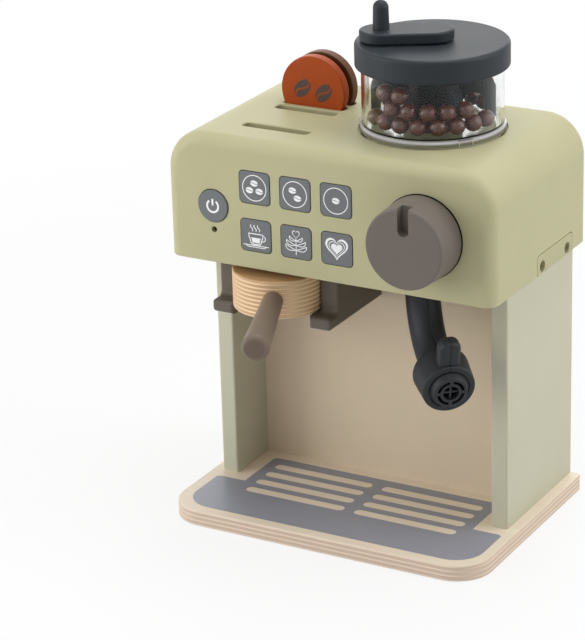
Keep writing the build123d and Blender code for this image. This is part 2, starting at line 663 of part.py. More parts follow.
def hood_shell():
    """Return the moulded hood, open below, with its windows, slots, well and inner posts."""
    shell = hood_form(0, HOOD_BOTTOM_Z) - hood_form(HOOD_WALL, HOOD_BOTTOM_Z - HOOD_WALL)
    rim = shell.faces().sort_by(Axis.Z)[0].outer_wire().edges()
    shell = fillet(rim, HOOD_RIM_ROUND)
    core = hood_form(HOOD_WALL / 2, HOOD_FLOOR_TOP_Z)
    columns = [post(x, y, HOOD_FLOOR_TOP_Z, HOOD_TOP_Z, HOOD_POST_RADIUS) for x, y in floor_post_points()]
    shell = join_all(shell, [column & core for column in columns])
    stub_y = (HOOD_INNER_FRONT_Y, CARRIER_FRONT_Y)
    stubs = [rod(x, z, *stub_y, CARRIER_POST_RADIUS) for x, z in carrier_post_points()]
    shell = join_all(shell, stubs)
    boss_back = HOOD_INNER_FRONT_Y + DIAL_BOSS_LENGTH
    shell = shell + rod(DIAL_X, DIAL_Z, HOOD_INNER_FRONT_Y, boss_back, DIAL_BOSS_RADIUS)
    bore = DIAL_SHAFT_RADIUS + RUNNING_FIT
    shell = shell - rod(DIAL_X, DIAL_Z, HOOD_FRONT_Y - HOOD_WALL, boss_back + HOOD_WALL, bore)
    shell = hopper_well(shell)
    shell = cut_all(shell, slot_cutters())
    shell = cut_all(shell, button_windows())
    for side in (-1, 1):
        shell = shell - tab_prism(side, TAB_GAP, HOOD_INNER_X - HOOD_WALL, HOOD_SIDE_X + HOOD_WALL)
    shell = cut_all(shell, screw_holes(floor_screw_places(), floor_screw_length()))
    return cut_all(shell, screw_holes(carrier_screw_places(), carrier_screw_length()))


def hood_floor():
    """Return the plate that closes the hood below, with upturned tabs and the wand's boss."""
    half_x = HOOD_INNER_X - MOULD_GAP
    front = HOOD_INNER_FRONT_Y + MOULD_GAP
    back = HOOD_INNER_BACK_Y - MOULD_GAP
    plate = block((-half_x, half_x), (front, back), (HOOD_BOTTOM_Z, HOOD_FLOOR_TOP_Z))
    plate = fillet(plate.edges().filter_by(Axis.Z), HOOD_EDGE_RADIUS - HOOD_WALL)
    slot_y = (PANEL_FRONT_Y - MOULD_GAP, PANEL_TONGUE_BACK_Y + MOULD_GAP)
    for side in (-1, 1):
        xs = sorted((side * (PANEL_INNER_X - MOULD_GAP), side * (PANEL_OUTER_X + MOULD_GAP)))
        through = (HOOD_BOTTOM_Z - HOOD_WALL, HOOD_FLOOR_TOP_Z + HOOD_WALL)
        plate = plate - block(xs, slot_y, through)
        plate = plate + tab_prism(side, 0, PANEL_OUTER_X, HOOD_SIDE_X)
    boss_top = HOOD_BOTTOM_Z + WAND_BOSS_HEIGHT
    plate = plate + post(WAND_X, WAND_Y, HOOD_BOTTOM_Z, boss_top, WAND_BOSS_RADIUS)
    bore = WAND_SPIGOT_RADIUS + RUNNING_FIT
    plate = plate - post(WAND_X, WAND_Y, HOOD_BOTTOM_Z - HOOD_WALL, boss_top + HOOD_WALL, bore)
    plate = cut_all(plate, screw_holes(floor_screw_places(), floor_screw_length()))
    plate = cut_all(plate, screw_holes(rail_screw_places(), RAIL_SCREW_BITE))
    plate = cut_all(plate, screw_holes(tab_screw_places(), tab_screw_length()))
    sunk = post(0, 0, -2 * TAB_COUNTERBORE_DEPTH, 0, TAB_COUNTERBORE_RADIUS)
    return cut_all(plate, [place * sunk for place in tab_screw_places()])


# ---------------------------------------------------------------- buttons

def button_back(x, z, lip_outline):
    """Return a button's retaining lip, stop shoulder and guide stem."""
    lip = front_prism(Pos(x, z) * lip_outline, LIP_FRONT_Y, LIP_BACK_Y)
    shoulder = rod(x, z, LIP_BACK_Y, SHOULDER_BACK_Y, BUTTON_SHOULDER_RADIUS)
    stem = rod(x, z, SHOULDER_BACK_Y, CARRIER_BACK_Y + BUTTON_STEM_TAIL, BUTTON_STEM_RADIUS)
    return lip + shoulder + stem


def rounded_cap(sketch, front_y):
    """Return a button's cap from its front face back to its lip, with a softened front edge."""
    cap = front_prism(sketch, front_y, LIP_FRONT_Y)
    rim = cap.faces().sort_by(Axis.Y)[0].outer_wire().edges()
    return fillet(rim, BUTTON_EDGE_ROUND)


def picture_key(x, z):
    """Return one square picture key with its hidden lip and stem."""
    cap = rounded_cap(Pos(x, z) * key_outline(0), HOOD_FRONT_Y - BUTTON_PROUD)
    return cap + button_back(x, z, key_outline(BUTTON_LIP))


def power_button():
    """Return the round power button with its hidden lip and stem."""
    cap = rounded_cap(Pos(POWER_X, POWER_Z) * Circle(POWER_RADIUS), HOOD_FRONT_Y - POWER_PROUD)
    return cap + button_back(POWER_X, POWER_Z, Circle(POWER_RADIUS + BUTTON_LIP))


def button_carrier():
    """Return the plate behind the front wall that guides the stems of all seven buttons."""
    margin = CARRIER_POST_RADIUS
    width = CARRIER_RIGHT_X - CARRIER_LEFT_X + 2 * margin
    height = CARRIER_HIGH_Z - CARRIER_LOW_Z + 2 * margin
    centre = Pos((CARRIER_LEFT_X + CARRIER_RIGHT_X) / 2, (CARRIER_LOW_Z + CARRIER_HIGH_Z) / 2)
    plate = front_prism(centre * RectangleRounded(width, height, margin), CARRIER_FRONT_Y, CARRIER_BACK_Y)
    guide = BUTTON_STEM_RADIUS + RUNNING_FIT
    stems = [(x, z) for _, x, z in key_places()] + [(POWER_X, POWER_Z)]
    through = (CARRIER_FRONT_Y - HOOD_WALL, CARRIER_BACK_Y + HOOD_WALL)
    plate = cut_all(plate, [rod(x, z, *through, guide) for x, z in stems])
    return cut_all(plate, screw_holes(carrier_screw_places(), carrier_screw_length()))


# ---------------------------------------------------------------- dial

def dial_knob():
    """Return the tapered knob with a notch at its top and a spacer behind it."""
    back = HOOD_FRONT_Y - DIAL_STAND_OFF
    front = back - DIAL_THICKNESS
    rear_disc = FRONT_VIEW.offset(-back) * Pos(DIAL_X, DIAL_Z) * Circle(DIAL_BACK_RADIUS)
    front_disc = FRONT_VIEW.offset(-front) * Pos(DIAL_X, DIAL_Z) * Circle(DIAL_FRONT_RADIUS)
    knob = loft([rear_disc, front_disc])
    knob = fillet(knob.faces().sort_by(Axis.Y)[0].edges(), DIAL_EDGE_ROUND)
    half = DIAL_NOTCH_WIDTH / 2
    inner_z = DIAL_Z + DIAL_FRONT_RADIUS - DIAL_NOTCH_LENGTH + half
    outer_z = DIAL_Z + 2 * DIAL_FRONT_RADIUS
    bar = Pos(DIAL_X, (inner_z + outer_z) / 2) * Rectangle(DIAL_NOTCH_WIDTH, outer_z - inner_z)
    notch = bar + Pos(DIAL_X, inner_z) * Circle(half)
    knob = knob - front_prism(notch, front - DIAL_EDGE_ROUND, front + DIAL_NOTCH_DEPTH)
    knob = knob + rod(DIAL_X, DIAL_Z, back, HOOD_FRONT_Y - BODY_GAP, DIAL_BOSS_RADIUS)
    return knob - rod(DIAL_X, DIAL_Z, back - DIAL_SHAFT_BITE, HOOD_FRONT_Y, DIAL_SHAFT_RADIUS)


def dial_clip_y():
    """Return the front and back depth of the dial's retaining clip."""
    front = HOOD_INNER_FRONT_Y + DIAL_BOSS_LENGTH + BODY_GAP
    return front, front + CLIP_THICKNESS


def dial_shaft():
    """Return the shaft that carries the knob through the hood's front wall."""
    front = HOOD_FRONT_Y - DIAL_STAND_OFF - DIAL_SHAFT_BITE
    return rod(DIAL_X, DIAL_Z, front, dial_clip_y()[1] + SHAFT_TAIL, DIAL_SHAFT_RADIUS)


def dial_clip():
    """Return the ring that keeps the dial's shaft from being pulled out."""
    ring = rod(DIAL_X, DIAL_Z, *dial_clip_y(), DIAL_SHAFT_RADIUS + CLIP_WIDTH)
    return ring - rod(DIAL_X, DIAL_Z, *dial_clip_y(), DIAL_SHAFT_RADIUS)


# ---------------------------------------------------------------- hopper

def hopper_cup():
    """Return the clear cup with its foot, grip lugs, raised floor and bayonet spigot."""
    foot_top = WELL_FLOOR_Z + CUP_FOOT_HEIGHT
    floor_low = CUP_FLOOR_Z - CUP_FLOOR_THICKNESS
    cup = post(0, 0, WELL_FLOOR_Z, LID_CEILING_Z, CUP_RADIUS)
    foot = post(0, 0, WELL_FLOOR_Z, foot_top, CUP_FOOT_RADIUS)
    cup = cup + chamfer(foot.edges().sort_by(Axis.Z)[-1], CUP_FOOT_CHAMFER)
    cup = Pos(HOPPER_X, HOPPER_Y, 0) * cup
    mark_radius = CUP_RADIUS + CUP_MARK_REACH
    mark_low = HOOD_TOP_Z + BODY_GAP
    mark_high = mark_low + CUP_MARK_HEIGHT
    cup = join_all(cup, lug_ring(mark_radius, mark_low, mark_high, CUP_MARK_START, CUP_MARK_ANGLE))
    cup = cup - post(HOPPER_X, HOPPER_Y, CUP_FLOOR_Z, LID_TOP_Z, CUP_INNER_RADIUS)
    cup = cup - post(HOPPER_X, HOPPER_Y, WELL_FLOOR_Z - HOOD_WALL, floor_low, CUP_INNER_RADIUS)
    lug_top = WELL_UNDERSIDE_Z - MOULD_GAP
    lug_low = lug_top - CUP_LUG_THICKNESS
    cup = cup + post(HOPPER_X, HOPPER_Y, lug_low, floor_low, CUP_SPIGOT_RADIUS)
    cup = join_all(cup, lug_ring(CUP_SPIGOT_RADIUS + CUP_LUG_REACH, lug_low, lug_top, 0))
    inner = CUP_SPIGOT_RADIUS - CUP_SPIGOT_WALL
    return cup - post(HOPPER_X, HOPPER_Y, lug_low - HOOD_WALL, floor_low, inner)


def hopper_lid():
    """Return the lid that caps the cup and carries the crank's bearing."""
    lid = post(0, 0, LID_BOTTOM_Z, LID_TOP_Z, LID_RADIUS)
    lid = fillet(lid.edges().sort_by(Axis.Z)[-1], LID_EDGE_ROUND)
    lid = fillet(lid.edges().sort_by(Axis.Z)[0], LID_EDGE_ROUND / 2)
    lid = lid - post(0, 0, LID_BOTTOM_Z - HOOD_WALL, LID_CEILING_Z, CUP_RADIUS + SCREW_GAP)
    lid = lid + post(0, 0, LID_BOSS_BOTTOM_Z, LID_TOP_Z - LID_EDGE_ROUND / 2, LID_BOSS_RADIUS)
    bore = CRANK_SHAFT_RADIUS + RUNNING_FIT
    lid = lid - post(0, 0, LID_BOSS_BOTTOM_Z - HOOD_WALL, LID_TOP_Z + HOOD_WALL, bore)
    return Pos(HOPPER_X, HOPPER_Y, 0) * lid


# ---------------------------------------------------------------- crank

def on_crank(solid):
    """Return a piece drawn along +X from the crank's axis, turned and moved to its place."""
    return Pos(HOPPER_X, HOPPER_Y, 0) * Rot(0, 0, CRANK_ANGLE) * solid


def crank_arm():
    """Return the flat rounded arm with the collar that spaces it above the lid."""
    outline = Pos(CRANK_REACH / 2, 0) * SlotCenterToCenter(CRANK_REACH, 2 * CRANK_ARM_HALF_WIDTH)
    arm = Pos(0, 0, CRANK_ARM_BOTTOM_Z) * extrude(outline, amount=CRANK_ARM_THICKNESS)
    arm = fillet(arm.faces().sort_by(Axis.Z)[-1].edges(), CRANK_ARM_EDGE_ROUND)
    arm = arm + post(0, 0, LID_TOP_Z + BODY_GAP, CRANK_ARM_TOP_Z - CRANK_ARM_EDGE_ROUND, CRANK_HUB_RADIUS)
    socket_top = CRANK_ARM_TOP_Z - CRANK_SHAFT_CAP
    arm = arm - post(0, 0, LID_TOP_Z, socket_top, CRANK_SHAFT_RADIUS)
    tenon_low = CRANK_ARM_TOP_Z - PEG_TENON_LENGTH
    arm = arm - post(CRANK_REACH, 0, tenon_low, CRANK_ARM_TOP_Z + HOOD_WALL, PEG_TENON_RADIUS)
    return on_crank(arm)


def crank_peg():
    """Return the tapered peg with a round dome, seated in the arm by a tenon."""
    top = CRANK_ARM_TOP_Z + PEG_HEIGHT
    shoulder = top - PEG_TOP_RADIUS
    low = CRANK_ARM_TOP_Z - PEG_TENON_LENGTH
    foot = (PEG_FOOT_RADIUS, CRANK_ARM_TOP_Z)
    rim = (PEG_TOP_RADIUS, shoulder)
    side = Polyline((0, low), (PEG_TENON_RADIUS, low), (PEG_TENON_RADIUS, CRANK_ARM_TOP_Z), foot, rim)
    dome = CenterArc((0, shoulder), PEG_TOP_RADIUS, 0, 90)
    core = Line((0, top), (0, low))
    peg = turned(make_face(side + dome + core))
    return on_crank(Pos(CRANK_REACH, 0, 0) * peg)


def crank_shaft():
    """Return the shaft that joins the arm to the stirrer through the lid."""
    socket_top = CRANK_ARM_TOP_Z - CRANK_SHAFT_CAP
    low = STIRRER_BOTTOM_Z + STIRRER_HUB_WALL
    return on_crank(post(0, 0, low, socket_top, CRANK_SHAFT_RADIUS))


def stirrer_arm():
    """Return one arched arm of the stirrer, drawn along +X."""
    start = STIRRER_HUB_RADIUS - STIRRER_HUB_WALL / 2
    outline = Pos((start + STIRRER_REACH) / 2, (STIRRER_BOTTOM_Z + STIRRER_ARM_TOP_Z) / 2)
    outline = outline * Rectangle(STIRRER_REACH - start, STIRRER_ARM_TOP_Z - STIRRER_BOTTOM_Z)
    outline = fillet(outline.vertices().group_by(Axis.X)[-1].sort_by(Axis.Y)[-1], STIRRER_SHOULDER_RADIUS)
    inner = STIRRER_REACH - STIRRER_LEG_WIDTH
    radius = (inner - STIRRER_HUB_RADIUS) / 2
    spring_z = STIRRER_ARCH_TOP_Z - radius
    gap_low = STIRRER_BOTTOM_Z - STIRRER_LEG_WIDTH
    opening = Pos(inner - radius, (gap_low + spring_z) / 2) * Rectangle(2 * radius, spring_z - gap_low)
    opening = opening + Pos(inner - radius, spring_z) * Circle(radius)
    return extrude(Plane.XZ * (outline - opening), amount=STIRRER_LEG_THICKNESS / 2, both=True)


def stirrer():
    """Return the hollow hub with two opposite arched arms."""
    hub = post(0, 0, STIRRER_BOTTOM_Z, STIRRER_TOP_Z, STIRRER_HUB_RADIUS)
    hub = join_all(hub, [stirrer_arm(), Rot(0, 0, 180) * stirrer_arm()])
    inner = STIRRER_HUB_RADIUS - STIRRER_HUB_WALL
    floor_z = STIRRER_BOTTOM_Z + STIRRER_HUB_WALL
    hub = hub - post(0, 0, floor_z, STIRRER_TOP_Z + HOOD_WALL, inner)
    hub = hub + post(0, 0, floor_z, STIRRER_TOP_Z, STIRRER_CORE_RADIUS)
    hub = hub - post(0, 0, floor_z, STIRRER_TOP_Z + HOOD_WALL, CRANK_SHAFT_RADIUS)
    return on_crank(hub)


def bean_row(start, count, row):
    """Return one row of beans along the cup's wall."""
    z = CUP_FLOOR_Z + BEAN_RADIUS + BODY_GAP + row * BEAN_ROW_RISE
    beans = []
    for index in range(count):
        turn = math.radians(start + index * BEAN_PITCH_ANGLE)
        x = HOPPER_X + BEAN_RING_RADIUS * math.cos(turn)
        y = HOPPER_Y + BEAN_RING_RADIUS * math.sin(turn)
        beans.append(Pos(x, y, z) * Sphere(BEAN_RADIUS))
    return beans


def coffee_beans():
    """Return the loose wooden beans, heaped in three rows at the front of the cup."""
    beans = bean_row(BEAN_FRONT_START, BEAN_FRONT_COUNT, 0)
    beans += bean_row(BEAN_BACK_START, BEAN_BACK_COUNT, 0)
    beans += bean_row(BEAN_SECOND_START, BEAN_SECOND_COUNT, 1)
    beans += bean_row(BEAN_THIRD_START, BEAN_THIRD_COUNT, 2)
    return as_group(beans)


# ---------------------------------------------------------------- portafilter and rails

def rail_side_view():
    """Return a rail's side outline: a leg on a foot that runs forward of it."""
    back = BACK_PANEL_FRONT_Y
    points = [(RAIL_FOOT_FRONT_Y, RAIL_BOTTOM_Z), (RAIL_FOOT_FRONT_Y, RAIL_LEDGE_TOP_Z),
              (RAIL_LEG_FRONT_Y, RAIL_LEDGE_TOP_Z), (RAIL_LEG_FRONT_Y, HOOD_BOTTOM_Z),
              (back, HOOD_BOTTOM_Z), (back, RAIL_BOTTOM_Z)]
    outline = make_face(Polyline(points, close=True))
    nose = outline.vertices().group_by(Axis.X)[0]
    outline = fillet(nose, RAIL_EDGE_ROUND)
    corner = outline.vertices().filter_by(lambda v: abs(v.X - RAIL_LEG_FRONT_Y) < 0.01).sort_by(Axis.Y)[0]
    return fillet(corner, RAIL_INSIDE_FILLET)


def rail(side):
    """Return one rail: a leg with a foot that runs forward and a ledge that carries the disc."""
    inner = RAIL_INNER_GAP / 2
    outer = inner + RAIL_THICKNESS
    side_view = Plane(origin=(0, 0, 0), x_dir=(0, 1, 0), z_dir=(1, 0, 0))
    body = extrude(side_view * rail_side_view(), amount=RAIL_THICKNESS)
    faces = body.faces().filter_by(Axis.X)
    front = [edge for face in faces for edge in face.edges()
             if edge.center().Y < RAIL_LEG_FRONT_Y + RAIL_EDGE_ROUND and edge.center().Z > RAIL_BOTTOM_Z]
    body = fillet(front, RAIL_EDGE_ROUND)
    low_x = RAIL_CENTRE_X + (inner if side > 0 else -outer)
    body = Pos(low_x, 0, 0) * body
    ledge_reach = (inner - RAIL_LEDGE_WIDTH, inner + RAIL_THICKNESS / 2)
    ledge_x = sorted(RAIL_CENTRE_X + side * reach for reach in ledge_reach)
    ledge = block(ledge_x, (RAIL_FOOT_FRONT_Y, BACK_PANEL_FRONT_Y), (RAIL_BOTTOM_Z, RAIL_LEDGE_TOP_Z))
    ledge = fillet(ledge.edges().group_by(Axis.Y)[0], RAIL_EDGE_ROUND)
    return cut_all(body + ledge, screw_holes(rail_screw_places(), RAIL_SCREW_BITE))


def on_handle(solid):
    """Return a piece drawn along +Z from the disc's axis, laid along the handle's direction."""
    place = Pos(RAIL_CENTRE_X, FILTER_Y, HANDLE_Z)
    return place * Rot(0, 0, HANDLE_ANGLE) * Rot(90, 0, 0) * solid


def portafilter_disc():
    """Return the layered wooden disc with the handle's dowel hole."""
    disc = post(RAIL_CENTRE_X, FILTER_Y, FILTER_BOTTOM_Z, FILTER_TOP_Z, FILTER_RADIUS)
    disc = fillet(disc.edges().filter_by(GeomType.CIRCLE), FILTER_EDGE_ROUND)
    return disc - on_handle(post(0, 0, FILTER_RADIUS - DOWEL_BITE, FILTER_RADIUS + DOWEL_BITE, DOWEL_RADIUS))


def portafilter_handle():
    """Return the turned handle, swelling towards its rounded end."""
    end = FILTER_RADIUS + HANDLE_LENGTH
    start = math.sqrt(FILTER_RADIUS ** 2 - HANDLE_ROOT_RADIUS ** 2) - FILTER_EDGE_ROUND
    root = (HANDLE_ROOT_RADIUS, start)
    tip = (HANDLE_END_RADIUS, end)
    handle = turned(make_face(Polyline((0, start), root, tip, (0, end), close=True)))
    handle = fillet(handle.edges().sort_by(Axis.Z)[-1], HANDLE_END_ROUND)
    handle = handle - post(0, 0, start - DOWEL_BITE, FILTER_RADIUS + DOWEL_BITE, DOWEL_RADIUS)
    disc = post(RAIL_CENTRE_X, FILTER_Y, FILTER_BOTTOM_Z, FILTER_TOP_Z, FILTER_RADIUS)
    return on_handle(handle) - disc


def handle_dowel():
    """Return the dowel that joins the handle to the disc."""
    low = FILTER_RADIUS - DOWEL_BITE
    return on_handle(post(0, 0, low, FILTER_RADIUS + DOWEL_BITE, DOWEL_RADIUS))


# ---------------------------------------------------------------- steam wand

def on_wand(solid):
    """Return a piece drawn in the XZ plane from the swivel, turned to the wand's rest angle."""
    return Pos(WAND_X, WAND_Y, WAND_TOP_Z) * Rot(0, 0, WAND_REST_ANGLE - 90) * solid


def wand_path():
    """Return the arm's centre line: down, round a bend, then straight to the nozzle's face."""
    down = Line((0, 0), (0, -WAND_DROP))
    bend = JernArc(start=down @ 1, tangent=down % 1, radius=WAND_BEND_RADIUS, arc_size=WAND_BEND_ANGLE)
    straight = Line(bend @ 1, bend @ 1 + (bend % 1) * WAND_STRAIGHT)
    return Plane.XZ * (down + bend + straight)


def wand_face_plane():
    """Return the plane of the drum's face, its normal pointing out of the nozzle."""
    path = wand_path()
    return Plane(origin=path @ 1, x_dir=(0, 1, 0), z_dir=path % 1)


def wand_drum():
    """Return the drum at the arm's end, narrower at its face and rounded at its back."""
    profile = Polyline(
        (0, 0), (WAND_DRUM_FRONT_RADIUS, 0), (WAND_DRUM_BACK_RADIUS, -WAND_DRUM_LENGTH),
        (0, -WAND_DRUM_LENGTH), close=True)
    drum = turned(make_face(profile))
    drum = fillet(drum.edges().filter_by(GeomType.CIRCLE).sort_by(Axis.Z)[0], WAND_DRUM_ROUND)
    drum = fillet(drum.edges().filter_by(GeomType.CIRCLE).sort_by(Axis.Z)[-1], WAND_RIM_ROUND)
    return wand_face_plane() * drum


def wand_tab():
    """Return the rounded thumb tab that stands on the drum in the arm's plane."""
    low = WAND_DRUM_FRONT_RADIUS / 2
    outline = Pos(0, (low + WAND_TAB_HEIGHT) / 2) * Rectangle(WAND_TAB_WIDTH, WAND_TAB_HEIGHT - low)
    outline = fillet(outline.vertices().group_by(Axis.Y)[-1], WAND_TAB_CORNER)
    tab = extrude(outline, amount=-WAND_TAB_THICKNESS)
    faces = tab.faces().sort_by(Axis.Z)
    rims = [edge for face in (faces[0], faces[-1]) for edge in face.edges() if edge.center().Y > low]
    return wand_face_plane() * Pos(0, 0, -WAND_TAB_SETBACK) * fillet(rims, WAND_TAB_ROUND)


def wand_form():
    """Return the whole hollow wand before it is parted into its two mouldings."""
    path = wand_path()
    outer = sweep(Plane.XY * Circle(WAND_TUBE_RADIUS), path=path)
    form = outer + wand_drum() + wand_tab()
    inner = sweep(Plane.XY * Circle(WAND_BORE_RADIUS), path=path)
    plane = wand_face_plane()
    front = plane * Pos(0, 0, WAND_TUBE_RADIUS) * Cylinder(2 * WAND_DRUM_BACK_RADIUS, 2 * WAND_TUBE_RADIUS)
    form = form - front
    pocket = plane * Pos(0, 0, -WAND_DRUM_BORE_DEPTH) * post(0, 0, 0, 2 * WAND_DRUM_BORE_DEPTH, NOZZLE_RADIUS)
    spigot = post(0, 0, -WAND_SPIGOT_BITE, WAND_SPIGOT_BITE, WAND_SPIGOT_RADIUS)
    core = inner - post(0, 0, -WAND_SPIGOT_BITE - WAND_TUBE_WALL, WAND_TUBE_WALL, 2 * WAND_TUBE_RADIUS)
    return form - pocket - core - spigot


def wand_half(side):
    """Return one moulding of the wand, parted in the arm's plane."""
    reach = 4 * WAND_BEND_RADIUS
    ys = sorted((0, side * reach))
    return on_wand(wand_form() & block((-reach, reach), ys, (-reach, reach)))


def nozzle_slots():
    """Return the cutters of the arc slots round the nozzle's bore."""
    half_width = NOZZLE_SLOT_WIDTH / 2
    ring = Circle(NOZZLE_SLOT_RADIUS + half_width) - Circle(NOZZLE_SLOT_RADIUS - half_width)
    reach = 2 * NOZZLE_RADIUS
    bridge_width = 2 * NOZZLE_SLOT_RADIUS * math.sin(math.radians(NOZZLE_BRIDGE_ANGLE / 2))
    for index in range(NOZZLE_SLOT_COUNT // 2):
        ring = ring - Rot(0, 0, index * 90) * Rectangle(reach, bridge_width)
    return ring


def nozzle_ring():
    """Return the nozzle insert: a grooved rim, a tapered boss, arc slots and a bore with sunken bars."""
    face_radius = NOZZLE_RADIUS - NOZZLE_GROOVE_WIDTH
    plate_back = -NOZZLE_PLATE_THICKNESS
    groove_floor = -NOZZLE_GROOVE_DEPTH
    rim = [(0, plate_back), (NOZZLE_RADIUS, plate_back), (NOZZLE_RADIUS, groove_floor)]
    groove = [(face_radius, groove_floor), (face_radius, 0)]
    boss = [(NOZZLE_BOSS_FOOT_RADIUS, 0), (NOZZLE_BOSS_RADIUS, NOZZLE_BOSS_HEIGHT), (0, NOZZLE_BOSS_HEIGHT)]
    ring = turned(make_face(Polyline(rim + groove + boss, close=True)))
    ring = fillet(ring.edges().sort_by(Axis.Z)[-1], NOZZLE_BOSS_ROUND)
    bar = Rectangle(2 * NOZZLE_BORE_RADIUS, NOZZLE_BAR_WIDTH)
    bars = bar + Rot(0, 0, 90) * bar
    through = 2 * NOZZLE_PLATE_THICKNESS + NOZZLE_BOSS_HEIGHT
    below = Pos(0, 0, -2 * NOZZLE_PLATE_THICKNESS)
    ring = ring - below * extrude(Circle(NOZZLE_BORE_RADIUS) - bars, amount=through + NOZZLE_PLATE_THICKNESS)
    ring = ring - below * extrude(nozzle_slots(), amount=through + NOZZLE_PLATE_THICKNESS)
    mouth = post(0, 0, NOZZLE_BOSS_HEIGHT - NOZZLE_BAR_SETBACK, 2 * NOZZLE_BOSS_HEIGHT, NOZZLE_BORE_RADIUS)
    return on_wand(wand_face_plane() * (ring - mouth))


def wand_clip_z():
    """Return the low and high level of the wand's retaining clip, in the wand's own frame."""
    low = WAND_BOSS_HEIGHT + 2 * BODY_GAP
    return low, low + CLIP_THICKNESS


def wand_spigot():
    """Return the spigot that the wand swivels on, through the hood floor."""
    high = wand_clip_z()[1] + SHAFT_TAIL
    return on_wand(post(0, 0, -WAND_SPIGOT_BITE, high, WAND_SPIGOT_RADIUS))


def wand_clip():
    """Return the ring that holds the spigot up on the hood floor's boss."""
    ring = post(0, 0, *wand_clip_z(), WAND_SPIGOT_RADIUS + CLIP_WIDTH)
    return on_wand(ring - post(0, 0, *wand_clip_z(), WAND_SPIGOT_RADIUS))


# ---------------------------------------------------------------- token trays and tokens

def token_tray(length, x, slot_ys, depth):
    """Return a tray moulded under token slots, its flange bonded to the hood's underside."""
    top = HOOD_TOP_Z - HOOD_WALL
    floor_z = HOOD_TOP_Z - depth
    half_x = length / 2 + TRAY_WALL
    low_y = slot_ys[0] - SLOT_WIDTH / 2 - TRAY_WALL
    high_y = slot_ys[-1] + SLOT_WIDTH / 2 + TRAY_WALL
    body = block((x - half_x, x + half_x), (low_y, high_y), (floor_z - TRAY_WALL, top))
    body = fillet(body.edges().filter_by(Axis.Z), SLOT_CORNER_RADIUS + TRAY_WALL)
    flange_x = half_x + TRAY_FLANGE_WIDTH
    flange_y = (low_y - TRAY_FLANGE_WIDTH, high_y + TRAY_FLANGE_WIDTH)
    flange = block((x - flange_x, x + flange_x), flange_y, (top - TRAY_WALL, top))
    flange = fillet(flange.edges().filter_by(Axis.Z), SLOT_CORNER_RADIUS + TRAY_WALL + TRAY_FLANGE_WIDTH)
    outline = RectangleRounded(length, SLOT_WIDTH, SLOT_CORNER_RADIUS)
    pockets = [Pos(x, y, floor_z) * extrude(outline, amount=depth) for y in slot_ys]
    return cut_all(body + flange, pockets)


def rack_tray():
    """Return the tray with a shallow pocket under each slot of the rack."""
    slot_ys = [rack_slot_y(index) for index in range(RACK_COUNT)]
    return token_tray(RACK_SLOT_LENGTH, RACK_X, slot_ys, RACK_TRAY_DEPTH)


def feed_tray():
    """Return the deep pocket under the feed slot."""
    return token_tray(FEED_SLOT_LENGTH, FEED_SLOT_X, [FEED_SLOT_Y], FEED_TRAY_DEPTH)


def token(slot_index):
    """Return one coffee token, standing on the floor of its rack pocket."""
    y = rack_slot_y(slot_index)
    z = HOOD_TOP_Z - RACK_TRAY_DEPTH + BODY_GAP + TOKEN_RADIUS
    disc = rod(RACK_X, z, y - TOKEN_THICKNESS / 2, y + TOKEN_THICKNESS / 2, TOKEN_RADIUS)
    return fillet(disc.edges().filter_by(GeomType.CIRCLE), TOKEN_EDGE_ROUND)


# ---------------------------------------------------------------- assembly

def pieces():
    """Return every piece of the coffee maker by its name."""
    made = {
        "base_board": base_board(),
        "left_side_panel": side_panel(-1),
        "right_side_panel": side_panel(1),
        "back_panel": back_panel(),
        "hood_shell": hood_shell(),
        "hood_floor": hood_floor(),
        "button_carrier": button_carrier(),
        "rack_tray": rack_tray(),
        "feed_tray": feed_tray(),
        "base_screws": as_group(screws_at(base_screw_places(), base_screw_length())),
        "hood_floor_screws": as_group(screws_at(floor_screw_places(), floor_screw_length())),
        "fixing_tab_screws": as_group(screws_at(tab_screw_places(), tab_screw_length())),
        "rail_screws": as_group(screws_at(rail_screw_places(), RAIL_SCREW_BITE)),
        "carrier_screws": as_group(screws_at(carrier_screw_places(), carrier_screw_length())),
        "left_portafilter_rail": rail(-1),
        "right_portafilter_rail": rail(1),
        "hopper_cup": hopper_cup(),
        "hopper_lid": hopper_lid(),
        "crank_arm": crank_arm(),
        "crank_peg": crank_peg(),
        "crank_shaft": crank_shaft(),
        "stirrer": stirrer(),
        "coffee_beans": coffee_beans(),
        "dial_knob": dial_knob(),
        "dial_shaft": dial_shaft(),
        "dial_clip": dial_clip(),
        "power_button": power_button(),
        "portafilter_disc": portafilter_disc(),
        "portafilter_handle": portafilter_handle(),
        "handle_dowel": handle_dowel(),
        "wand_left_half": wand_half(1),
        "wand_right_half": wand_half(-1),
        "nozzle_ring": nozzle_ring(),
        "wand_spigot": wand_spigot(),
        "wand_clip": wand_clip(),
        "orange_token": token(1),
        "brown_token": token(2),
    }
    for name, x, z in key_places():
        made[name + "_key"] = picture_key(x, z)
    return made


for node, piece in pieces().items():
    export_step(piece, "parts/" + node + ".step")
    print(node, round(piece.volume, 1))
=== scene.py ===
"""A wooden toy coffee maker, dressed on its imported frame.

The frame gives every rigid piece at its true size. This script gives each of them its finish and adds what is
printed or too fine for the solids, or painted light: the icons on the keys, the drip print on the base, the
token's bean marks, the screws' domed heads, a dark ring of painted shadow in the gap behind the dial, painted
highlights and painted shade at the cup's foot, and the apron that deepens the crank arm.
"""
import logging
import math
from dataclasses import dataclass, field
from enum import Enum
from functools import cache, cached_property, reduce
from typing import Any, Callable, Iterable, Sequence

import bpy
import numpy as np
from mathutils import Matrix, Vector


